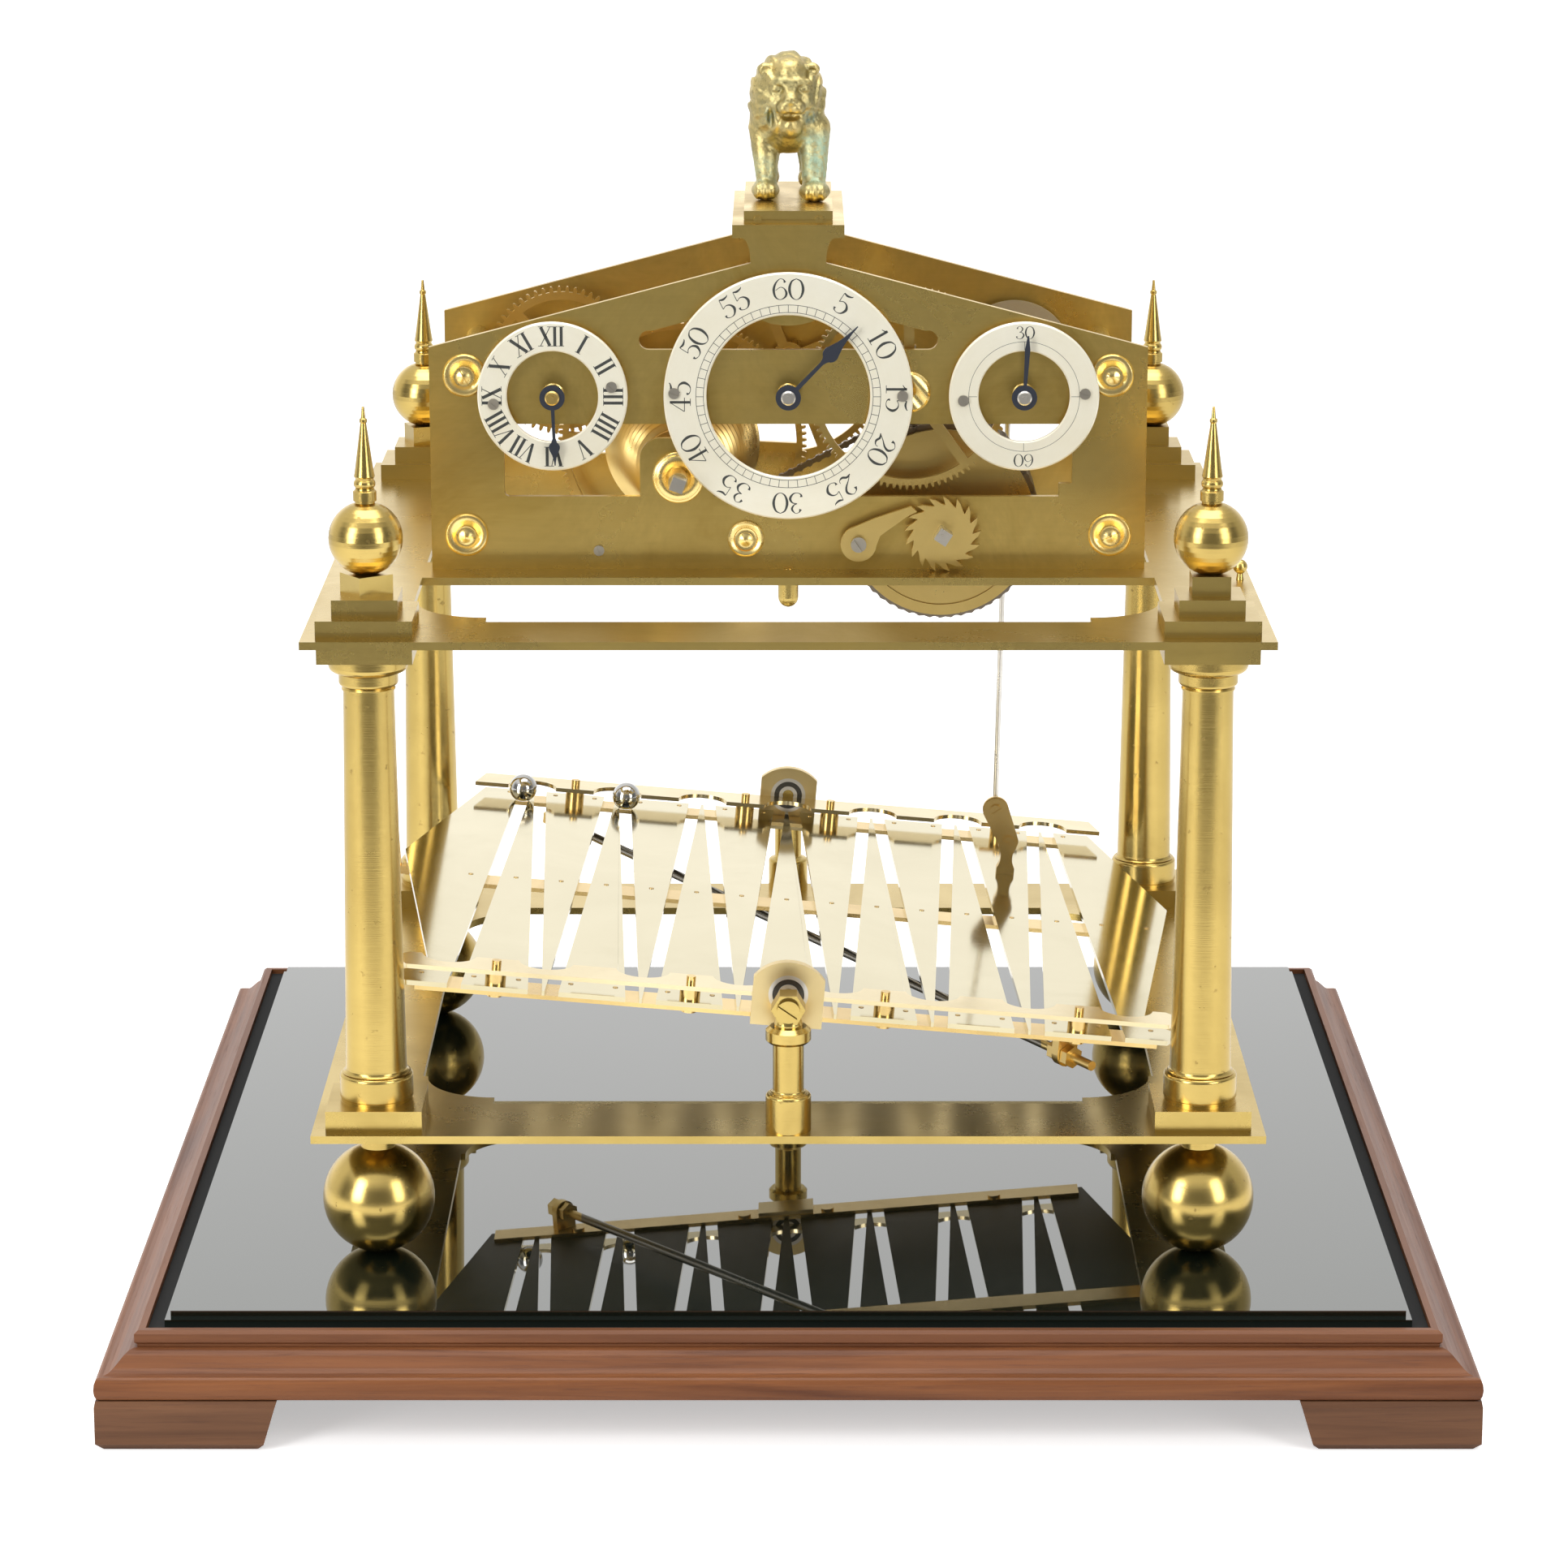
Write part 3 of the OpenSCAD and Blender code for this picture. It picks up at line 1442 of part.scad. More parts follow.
// Hooked ratchet on the barrel arbor's square
module ratchet_wheel() {
  teeth = 17;
  step = 360 / teeth;
  color([0.84, 0.7, 0.4])
    on_upper()
      translate([barrel_c[0], 0, barrel_c[1]])
        difference() {
          along_y(front_y - 5.6, front_y - 3.4)
            difference() {
              polygon([for (i = [0 : teeth - 1])
                for (p = [[15.9, 5.3], [12.3, 0.8], [12.6, 5.8], [13.3, 11.3], [14.6, 17.8]])
                  let (a = i * step + p[1])
                    p[0] * [cos(a), sin(a)]]);
              rotate(-33)
                square([5.8, 5.8], center = true);
            }
        }
}

// Click whose tip lies behind one of the ratchet's teeth
module click() {
  tip = barrel_c + 14.3 * [cos(138.5), sin(138.5)];
  heel = barrel_c + 16.6 * [cos(153.5), sin(153.5)];
  color([0.74, 0.6, 0.32])
    on_upper() {
      difference() {
        along_y(front_y - 5.4, front_y - 3.2)
          union() {
            translate(click_c)
              circle(r = 7.4);
            polygon([click_c + [-2, 7.1], click_c + [7, 11], tip + [-2.6, 2.2], tip,
                 heel, click_c + [9, 3.5], click_c + [6, -4.3]]);
          }
        bar_y(click_c, front_y - 6, front_y - 3, 1.5 + fit_gap);
      }
    }
}

// Fusee: a grooved cone on its arbor, with a square for winding
module fusee() {
  shift = front_y - 14;
  last = groove_y(grooves - 1) + 2;
  color([0.78, 0.62, 0.32])
    on_upper() {
      turned_y(fusee_c, 0, concat(
        [[0, shift], [winding_r, shift], [winding_r, groove_y0 - 2],
         [groove_r(0) + 1.2, groove_y0 - 2]],
        [for (i = [0 : grooves - 1])
          for (p = [[1.2, -2.1 + 0.3], [0, -1.7], [0, 1.7], [1.2, 1.8]])
            [groove_r(i) + p[0], groove_y(i) + p[1]]],
        [[fusee_r + 2.2, last + 0.2], [fusee_r + 2.2, great_wheel_y - 1.7],
         [arbor_r, great_wheel_y - 1.7], [arbor_r, rear_in - 0.3],
         [pivot_r, rear_in - 0.3], [pivot_r, -front_y + 0.8], [0, -front_y + 0.8]]));
      translate([fusee_c[0], 0, fusee_c[1]])
        rotate([0, 20, 0])
          translate([-2.85, shift - 6, -2.85])
            cube([5.7, 6, 5.7]);
    }
}

// Barrel: a hollow drum with low flanges and a front cap, free on its arbor
module barrel() {
  length = barrel_back - barrel_front;
  wall = 3.5;
  color([0.8, 0.64, 0.34])
    on_upper() {
      turned_y(barrel_c, barrel_front,
        [[barrel_r - wall, 0], [barrel_r + 0.9, 0], [barrel_r + 0.9, 2], [barrel_r, 2],
         [barrel_r, length - 2], [barrel_r + 0.9, length - 2], [barrel_r + 0.9, length],
         [3 + fit_gap, length], [3 + fit_gap, length - 6], [7, length - 6], [7, length - 3],
         [barrel_r - wall, length - 3]]);
      turned_y(barrel_c, barrel_front,
        [[3 + fit_gap, -0.8], [7, -0.8], [7, 0.8], [barrel_r - wall - fit_gap, 0.8],
         [barrel_r - wall - fit_gap, 3.6], [7, 3.6], [7, 6], [3 + fit_gap, 6]]);
    }
}

// Turns of chain on the barrel, each with a row of link edges
module barrel_chain() {
  color([0.35, 0.33, 0.3])
    on_upper()
      for (i = [0 : chain_turns - 1])
        turned_y(barrel_c, chain_y - 3.4 - i * groove_pitch,
          [[barrel_r, -chain_w / 2], [barrel_r + chain_h - 0.5, -chain_w / 2],
           [barrel_r + chain_h, -chain_w / 2 + 0.5], [barrel_r + chain_h, chain_w / 2 - 0.5],
           [barrel_r + chain_h - 0.5, chain_w / 2], [barrel_r, chain_w / 2]]);
}

// Waisted outline of one chain link along +x
module link_2d() {
  circle(r = chain_h / 2, $fn = 24);
  translate([link_pitch, 0])
    circle(r = chain_h / 2, $fn = 24);
  translate([0, -chain_h / 3])
    square([link_pitch, chain_h / 1.5]);
}

// Straight run of chain from the barrel to the fusee: single links between pairs
module chain_run() {
  length = span(run_from, run_to);
  links = floor((length - chain_h) / link_pitch);
  color([0.33, 0.31, 0.29])
    on_upper()
      translate([run_from[0], 0, run_from[1]])
        rotate([0, -heading(run_from, run_to), 0])
          for (i = [0 : links - 1])
            translate([chain_h / 2 + i * link_pitch, 0, 0])
              if (i % 2 == 0)
                along_y(chain_y - 0.5, chain_y + 0.5)
                  link_2d();
              else {
                along_y(chain_y - chain_w / 2, chain_y - 0.5)
                  link_2d();
                along_y(chain_y + 0.5, chain_y + chain_w / 2)
                  link_2d();
              }
}

// ---------------------------------------------------------------- train

// Plain arbor between the plates, with its front and rear pivots
module arbor(c, front_to, front_r, rear_to, rear_r) {
  bar_y(c, front_in + 0.3, rear_in - 0.3, arbor_r);
  bar_y(c, front_to, front_in + 0.4, front_r);
  bar_y(c, rear_in - 0.4, rear_to, rear_r);
}

// Pinion cut on an arbor
module pinion(c, y0, y1, leaves, m, phase) {
  translate([c[0], 0, c[1]])
    along_y(y0, y1)
      pinion_2d(leaves, m, phase);
}

// Collet that holds a hand on its arbor
module collet(c) {
  turned_y(c, hand_y - 1.4, [[0, 0], [2.4, 0], [3, 0.5], [3, 1.4], [0, 1.4]]);
  bar_y(c, hand_y - 2, hand_y, 1);
}

module great_wheel() {
  color([0.84, 0.68, 0.36])
    on_upper()
      crossed_wheel(fusee_c, great_wheel_y, great_wheel_t, great_teeth, great_m,
        heading(fusee_c, minute_c), 6, arbor_r + fit_gap);
}

// Wheel on the fusee arbor that drives the hour wheel one to one
module motion_wheel() {
  color([0.84, 0.68, 0.36])
    on_upper()
      crossed_wheel(fusee_c, hour_wheel_y, wheel_t, hour_teeth, hour_m,
        heading(fusee_c, hour_c), 4, arbor_r + fit_gap);
}

module hour_wheel() {
  color([0.84, 0.68, 0.36])
    on_upper() {
      crossed_wheel(hour_c, hour_wheel_y, wheel_t, hour_teeth, hour_m,
        heading(hour_c, fusee_c) + 180 / hour_teeth, 5, arbor_r + fit_gap);
      arbor(hour_c, hand_y, front_pivot_r, -front_y + 0.8, pivot_r);
      collet(hour_c);
    }
}

module minute_arbor() {
  color([0.72, 0.72, 0.72])
    on_upper() {
      arbor(minute_c, hand_y, front_pivot_r, -front_y + 0.8, pivot_r);
      pinion(minute_c, great_wheel_y - 1, great_wheel_y + great_wheel_t + 1, minute_leaves, great_m,
        heading(minute_c, fusee_c) + 180 / minute_leaves);
      collet(minute_c);
    }
}

module minute_wheel() {
  color([0.84, 0.68, 0.36])
    on_upper()
      crossed_wheel(minute_c, minute_wheel_y, wheel_t, minute_teeth, minute_m,
        heading(minute_c, intermediate_c), 4, arbor_r + fit_gap);
}

module intermediate_arbor() {
  color([0.72, 0.72, 0.72])
    on_upper() {
      arbor(intermediate_c, front_y - 0.8, pivot_r, -front_y + 0.8, pivot_r);
      pinion(intermediate_c, minute_wheel_y - 1, minute_wheel_y + wheel_t + 1, pinion_leaves, minute_m,
        heading(intermediate_c, minute_c) + 180 / pinion_leaves);
    }
}

module intermediate_wheel() {
  color([0.84, 0.68, 0.36])
    on_upper()
      crossed_wheel(intermediate_c, intermediate_wheel_y, wheel_t, intermediate_teeth, second_m,
        heading(intermediate_c, seconds_c), 5, arbor_r + fit_gap);
}

// Seconds arbor with its pinion, a plain disc and a long rear end
module seconds_arbor() {
  color([0.76, 0.7, 0.55])
    on_upper() {
      arbor(seconds_c, hand_y, front_pivot_r, cock_y - 2, front_pivot_r);
      bar_y(seconds_c, -front_y + 1.8, crank_y + 0.5, arbor_r);
      pinion(seconds_c, intermediate_wheel_y - 1, intermediate_wheel_y + wheel_t + 1, pinion_leaves,
        second_m, heading(seconds_c, intermediate_c) + 180 / pinion_leaves);
      turned_y(seconds_c, disc_y, [[0, 0], [disc_r, 0], [disc_r, 1.8], [5, 1.8], [5, 4], [0, 4]]);
      collet(seconds_c);
    }
}

// Crank that lifts and lowers the table
module crank() {
  color([0.82, 0.66, 0.35])
    on_upper() {
      along_y(crank_y + 0.5, crank_y + 3.5)
        taper_2d(seconds_c, 6, seconds_c + [0, -crank_r], 3.4);
      bar_y(seconds_c, crank_y + 0.5, crank_y + 5, 4.2);
      bar_y(seconds_c + [0, -crank_r], crank_y + 3, rod_y - eye_t / 2 - 0.3, 1.5);
    }
}

// Cock that carries the seconds arbor behind the rear plate
module rear_cock() {
  arm = 16;
  color([0.78, 0.62, 0.32])
    on_upper() {
      for (s = [-1, 1])
        bar_y(seconds_c + [s * arm, 0], -front_y, cock_y, 3);
      difference() {
        along_y(cock_y, cock_y + 3)
          rounded_2d(seconds_c - [arm + 6, 6], seconds_c + [arm + 6, 6], 5.5);
        bar_y(seconds_c, cock_y - 1, cock_y + 4, arbor_r + fit_gap);
      }
      for (s = [-1, 1])
        mirror([0, 1, 0])
          screw_y(seconds_c + [s * arm, 0], -cock_y - 3, 3, 1.6, 0, 0, 40 * s);
    }
}

// Rod from the crank down to the table's link, with an eye at each end
module connecting_rod() {
  lean = heading(rod_low, rod_top);
  length = span(rod_low, rod_top);
  color([0.75, 0.74, 0.7])
    difference() {
      union() {
        for (p = [rod_low, rod_top])
          bar_y(p, rod_y - eye_t / 2, rod_y + eye_t / 2, eye_r);
        translate([rod_low[0], rod_y, rod_low[1]])
          rotate([0, 90 - lean, 0])
            translate([0, 0, eye_r - 0.6])
              cylinder(h = length - 2 * eye_r + 1.2, d = rod_d);
      }
      bar_y(rod_low, rod_y - eye_t, rod_y + eye_t, 1.5 + fit_gap);
      bar_y(rod_top, rod_y - eye_t, rod_y + eye_t, 1.5 + fit_gap);
    }
}

// ---------------------------------------------------------------- hands

// Blued hand lying on its arbor's end; turn is clockwise from twelve
module hand(c, turn) {
  color([0.14, 0.15, 0.24])
    on_upper()
      translate([c[0], 0, c[1]])
        difference() {
          along_y(hand_y, hand_y + hand_t)
            rotate(-turn) {
              circle(r = 5.2);
              children();
            }
          bar_y([0, 0], hand_y - 1, hand_y + hand_t + 1, front_pivot_r + fit_gap);
        }
}

// Spade-shaped blade: shaft, round lobe at lobe_l and point at tip_l
module spade_2d(lobe_l, lobe_r, tip_l, shaft_w) {
  side = concat(
    [[shaft_w / 2, 4], [shaft_w / 2 - 0.15, lobe_l - 1.6 * lobe_r],
     [shaft_w / 2 + 0.3, lobe_l - 1.1 * lobe_r]],
    [for (a = [-60 : 15 : 30]) [lobe_r * cos(a), lobe_l + lobe_r * sin(a)]],
    [for (t = [0.25 : 0.25 : 1])
      [lobe_r * 0.62 * pow(1 - t, 1.6) + 0.2, lobe_l + lobe_r * 0.7 + (tip_l - lobe_l - lobe_r * 0.7) * t]]);
  polygon(concat(side, [for (i = [len(side) - 1 : -1 : 0]) [-side[i][0], side[i][1]]]));
}

module minute_hand() {
  hand(minute_c, 44)
    spade_2d(25, 3.3, 41, 1.8);
}

module hour_hand() {
  hand(hour_c, 178)
    spade_2d(20.7, 2.3, 28.2, 1.5);
}

module seconds_hand() {
  hand(seconds_c, 3)
    polygon([[-0.7, 4], [-1.1, 20], [-0.3, 25.6], [0.3, 25.6], [1.1, 20], [0.7, 4]]);
}

// ---------------------------------------------------------------- model

base_frame();
base_feet();
base_felt();
glass_plate();
ball_feet();
lower_plate();
plinths();
columns();
abaci();
upper_plate();
corner_steps();
finials();
pivot_posts();
pivot_screws();
front_plate();
rear_plate();
pillars();
pillar_screws();
top_slab();
lion_plinth();
lion();
hour_dial();
minute_dial();
seconds_dial();
dial_feet();
small_screws();
plate_bushes();
barrel_arbor();
ratchet_wheel();
rear_cock();
frame_nuts();
chain_run();
click();
barrel();
barrel_chain();
fusee();
great_wheel();
motion_wheel();
minute_arbor();
minute_wheel();
minute_hand();
hour_wheel();
hour_hand();
intermediate_arbor();
intermediate_wheel();
seconds_arbor();
crank();
seconds_hand();
connecting_rod();
rod_link();
track_plate();
tie_bar();
guard_rails();
table_spacers();
bearing_brackets();
ball_bearings();
truss_rod();
trip_wire();
ball_left();
ball_right();
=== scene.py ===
"""Looks of the rolling ball clock: finishes, dial markings, lion, chain, light and camera."""
import json
import math

import bpy
import numpy as np
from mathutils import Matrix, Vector


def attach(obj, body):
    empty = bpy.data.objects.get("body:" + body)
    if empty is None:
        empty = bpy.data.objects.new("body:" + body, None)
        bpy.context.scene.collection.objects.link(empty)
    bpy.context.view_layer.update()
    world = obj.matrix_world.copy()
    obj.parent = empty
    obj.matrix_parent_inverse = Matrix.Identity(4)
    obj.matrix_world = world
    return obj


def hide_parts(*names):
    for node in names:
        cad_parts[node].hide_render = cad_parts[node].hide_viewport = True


MM = 0.001
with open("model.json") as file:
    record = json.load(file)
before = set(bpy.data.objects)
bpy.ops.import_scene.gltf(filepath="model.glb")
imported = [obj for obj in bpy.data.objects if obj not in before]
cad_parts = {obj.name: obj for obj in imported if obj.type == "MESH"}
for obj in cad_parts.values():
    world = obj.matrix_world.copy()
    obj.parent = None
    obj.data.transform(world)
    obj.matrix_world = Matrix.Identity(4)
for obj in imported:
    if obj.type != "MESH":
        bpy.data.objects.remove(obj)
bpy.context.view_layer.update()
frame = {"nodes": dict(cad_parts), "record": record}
nodes = frame["nodes"]

# Heights and places shared with the CAD model, in millimetres; a centre is (x, z)
UPPER_TOP = 305.0
PIVOT_Z = 154.2
DIAL_FRONT = -57.2
DIAL_X = 97.0
DIAL_Z = UPPER_TOP + 73.5
MINUTE_C = (0.0, DIAL_Z)
HOUR_C = (-DIAL_X, DIAL_Z)
SECONDS_C = (DIAL_X, DIAL_Z)
PILLARS = [(x, UPPER_TOP + z) for x in (-133.4, 133.4) for z in (14.6, 81.4)]
FUSEE_C = (-45.4, 344.0)
BOSS_C = (-17.6, UPPER_TOP + 12.9)
BARREL_C = (64.0, UPPER_TOP + 15.8)
BARREL_R = 38.5
CHAIN_Y = 14.6
LION_Z = UPPER_TOP + 148.8


# ---------------------------------------------------------------- node helpers

class Nodes:
    """Short way to add and link shader nodes in one tree."""

    def __init__(self, tree):
        self.tree = tree

    def add(self, kind, **values):
        """New node with its properties; inputs holds values or sockets to link, by input."""
        node = self.tree.nodes.new(kind)
        inputs = values.pop("inputs", {})
        for key, value in values.items():
            setattr(node, key, value)
        for key, value in inputs.items():
            socket = node.inputs[key]
            if hasattr(value, "is_output"):
                self.tree.links.new(value, socket)
            else:
                socket.default_value = value
        return node

    def math(self, operation, a, b=0.5, c=0.5):
        node = self.add("ShaderNodeMath", operation=operation, inputs={0: a, 1: b, 2: c})
        return node.outputs[0]

    def mix(self, factor, a, b):
        node = self.add("ShaderNodeMix", data_type="RGBA", inputs={0: factor, 6: a, 7: b})
        return node.outputs[2]

    def noise(self, vector, scale, detail=4.0, rough=0.5, distortion=0.0):
        node = self.add("ShaderNodeTexNoise", inputs={
            "Vector": vector, "Scale": scale, "Detail": detail, "Roughness": rough,
            "Distortion": distortion})
        return node.outputs[0]

    def ramp(self, value, low, high):
        node = self.add("ShaderNodeMapRange", inputs={0: value, 1: low, 2: high, 3: 0.0, 4: 1.0})
        return node.outputs[0]

    def stretch(self, vector, scale):
        node = self.add("ShaderNodeVectorMath", operation="MULTIPLY", inputs={0: vector, 1: scale})
        return node.outputs[0]

    def split(self, vector):
        return self.add("ShaderNodeSeparateXYZ", inputs={0: vector}).outputs

    def length(self, a, b):
        square = [self.math("MULTIPLY", v, v) for v in (a, b)]
        return self.math("SQRT", self.math("ADD", *square))

    def from_centre(self, x, z, centre):
        """Distance to the line along Y through the centre, which is given in millimetres."""
        return self.length(self.math("SUBTRACT", x, centre[0] * MM),
                           self.math("SUBTRACT", z, centre[1] * MM))

    def bump(self, height, strength, distance, **more):
        node = self.add("ShaderNodeBump", inputs={
            "Strength": strength, "Distance": distance, "Height": height, **more})
        return node.outputs[0]


def group(name, inputs, outputs, build):
    """Makes a node group; build(n, sockets) returns the outputs' values by name."""
    tree = bpy.data.node_groups.new(name, "ShaderNodeTree")
    for label, kind, value in inputs:
        socket = tree.interface.new_socket(label, in_out="INPUT", socket_type="NodeSocket" + kind)
        if value is not None:
            socket.default_value = value
    for label, kind in outputs:
        tree.interface.new_socket(label, in_out="OUTPUT", socket_type="NodeSocket" + kind)
    n = Nodes(tree)
    entry = n.add("NodeGroupInput")
    leave = n.add("NodeGroupOutput")
    made = build(n, entry.outputs)
    for label, _ in outputs:
        tree.links.new(made[label], leave.inputs[label])
    return tree


def build_metal(n, s):
    """Tarnish clouds, fine scratches along one way and small dark spots."""
    cloud = n.noise(s["Vector"], s["Cloud Scale"], 5.0, 0.6, 0.6)
    cloud = n.ramp(cloud, 0.35, 0.7)
    fine = n.noise(s["Vector"], 420.0, 3.0, 0.6)
    grain_v = n.stretch(s["Vector"], s["Grain"])
    grain = n.noise(grain_v, 1.0, 3.0, 0.65)
    spots = n.noise(s["Vector"], s["Spot Scale"], 2.0, 0.5)
    spots = n.ramp(spots, s["Spot Level"], 0.86)
    amount = n.math("MULTIPLY", cloud, s["Tarnish"])
    tint = n.math("MULTIPLY_ADD", grain, s["Streak"], amount)
    color = n.mix(tint, s["Bright"], s["Dull"])
    color = n.mix(spots, color, s["Spot Color"])
    rough = n.math("MULTIPLY_ADD", cloud, s["Rough Change"], s["Roughness"])
    rough = n.math("MULTIPLY_ADD", fine, 0.05, rough)
    rough = n.math("MULTIPLY_ADD", spots, 0.3, rough)
    height = n.math("MULTIPLY_ADD", fine, 0.12, grain)
    return {"Color": color, "Roughness": rough, "Height": height}


worn_metal = group(
    "worn_metal",
    [("Vector", "Vector", None), ("Bright", "Color", (0.8, 0.6, 0.3, 1)),
     ("Dull", "Color", (0.4, 0.3, 0.12, 1)), ("Spot Color", "Color", (0.12, 0.07, 0.03, 1)),
     ("Cloud Scale", "Float", 14.0), ("Tarnish", "Float", 0.5), ("Grain", "Vector", (20, 20, 600)),
     ("Streak", "Float", 0.1), ("Spot Scale", "Float", 160.0), ("Spot Level", "Float", 0.8),
     ("Roughness", "Float", 0.2), ("Rough Change", "Float", 0.1)],
    [("Color", "Color"), ("Roughness", "Float"), ("Height", "Float")],
    build_metal)


def new_material(name):
    """Empty Principled material; returns it with its node helper, shader and object coordinates."""
    material = bpy.data.materials.new(name)
    material.use_nodes = True
    n = Nodes(material.node_tree)
    shader = material.node_tree.nodes["Principled BSDF"]
    where = n.add("ShaderNodeTexCoord").outputs["Object"]
    return material, n, shader, where


def set_inputs(shader, **values):
    """Sets the shader's inputs, or links them to sockets; an underscore stands for a space."""
    for label, value in values.items():
        socket = shader.inputs[label.replace("_", " ")]
        if hasattr(value, "is_output"):
            shader.id_data.links.new(value, socket)
        else:
            socket.default_value = value


def metal(name, bright, dull, rough=0.2, rough_change=0.1, tarnish=0.5, cloud=14.0,
          grain=(20, 20, 600), streak=0.08, spot_level=0.84, spot_scale=160.0,
          spot_color=(0.12, 0.07, 0.03, 1), bump=0.03, underside_shade=None):
    """Metal with the shared wear; bump is the strength of the grain, and the last argument is a
    dark colour painted as shade on the faces that look down, which are also made rougher, as
    unpolished."""
    material, n, shader, where = new_material(name)
    wear = n.add("ShaderNodeGroup", node_tree=worn_metal, inputs={
        "Vector": where, "Bright": (*bright, 1), "Dull": (*dull, 1), "Cloud Scale": cloud,
        "Tarnish": tarnish, "Grain": grain, "Streak": streak, "Spot Level": spot_level,
        "Spot Scale": spot_scale, "Spot Color": spot_color, "Roughness": rough,
        "Rough Change": rough_change})
    ridge = n.bump(wear.outputs["Height"], bump, 0.0002)
    color, rough = wear.outputs["Color"], wear.outputs["Roughness"]
    if underside_shade:
        # Painted shade: faces that look down are mixed towards the dark colour given last
        down = n.ramp(n.split(where.node.outputs["Normal"])[2], -0.3, -0.6)
        color = n.mix(down, color, underside_shade)
        rough = n.math("MULTIPLY_ADD", down, 0.4, rough)
    set_inputs(shader, Base_Color=color, Roughness=rough, Normal=ridge, Metallic=1.0)
    return material


def build_wood(n, s):
    """Grain that runs along X on the front and rear rails and along Y on the side rails, with
    painted sheen on the higher top faces.
    """
    x, y, z = n.split(s["Vector"])
    side = n.math("GREATER_THAN", n.math("ABSOLUTE", x), n.math("ABSOLUTE", y))
    flow_x = n.stretch(s["Vector"], (5.0, 90.0, 130.0))
    flow_y = n.stretch(s["Vector"], (90.0, 5.0, 130.0))
    flow = n.add("ShaderNodeMix", data_type="VECTOR", inputs={0: side, 4: flow_x, 5: flow_y})
    broad = n.noise(flow.outputs[1], 0.8, 6.0, 0.6, 1.2)
    fine_v = n.stretch(flow.outputs[1], (4.0, 4.0, 4.0))
    fine = n.noise(fine_v, 1.6, 4.0, 0.7)
    pores = n.ramp(fine, 0.55, 0.75)
    mixed = n.ramp(broad, 0.3, 0.7)
    color = n.mix(mixed, s["Light"], s["Dark"])
    color = n.mix(n.math("MULTIPLY", pores, 0.45), color, s["Pore"])
    # Painted sheen: the higher top faces are mixed towards a greyer tone that stands in for their
    # reflection
    top_sheen = n.math("MULTIPLY", n.ramp(z, 0.036, 0.046), s["Top Sheen Amount"])
    color = n.mix(top_sheen, color, s["Top Sheen Tone"])
    rough = n.math("MULTIPLY_ADD", pores, 0.12, s["Roughness"])
    height = n.math("SUBTRACT", mixed, pores)
    return {"Color": color, "Roughness": rough, "Height": height}


# The fourth colour and the number after it paint a greyer sheen on the top faces
wood_grain = group(
    "wood_grain",
    [("Vector", "Vector", None), ("Light", "Color", (0.3, 0.11, 0.06, 1)),
     ("Dark", "Color", (0.16, 0.05, 0.03, 1)), ("Pore", "Color", (0.05, 0.02, 0.015, 1)),
     ("Top Sheen Tone", "Color", (0.3, 0.18, 0.13, 1)), ("Top Sheen Amount", "Float", 0.7),
     ("Roughness", "Float", 0.4)],
    [("Color", "Color"), ("Roughness", "Float"), ("Height", "Float")],
    build_wood)


def wood(name, light, dark, sheen_tone, sheen_amount, rough):
    """Stained wood; the third colour is a greyer tone painted on the top faces as sheen, and the
    number after it is how far they go towards it.
    """
    material, n, shader, where = new_material(name)
    grain = n.add("ShaderNodeGroup", node_tree=wood_grain, inputs={
        "Vector": where, "Light": (*light, 1), "Dark": (*dark, 1), "Top Sheen Tone": (*sheen_tone, 1),
        "Top Sheen Amount": sheen_amount, "Roughness": rough})
    set_inputs(shader, Base_Color=grain.outputs["Color"], Roughness=grain.outputs["Roughness"],
               Normal=n.bump(grain.outputs["Height"], 0.12, 0.0003), Specular_IOR_Level=0.25)
    return material


def plain(name, color, rough, metallic=0.0, **more):
    """Material without wear; more holds other inputs of the shader."""
    material, _, shader, _ = new_material(name)
    set_inputs(shader, Base_Color=(*color, 1), Roughness=rough, Metallic=metallic, **more)
    return material


# ---------------------------------------------------------------- materials

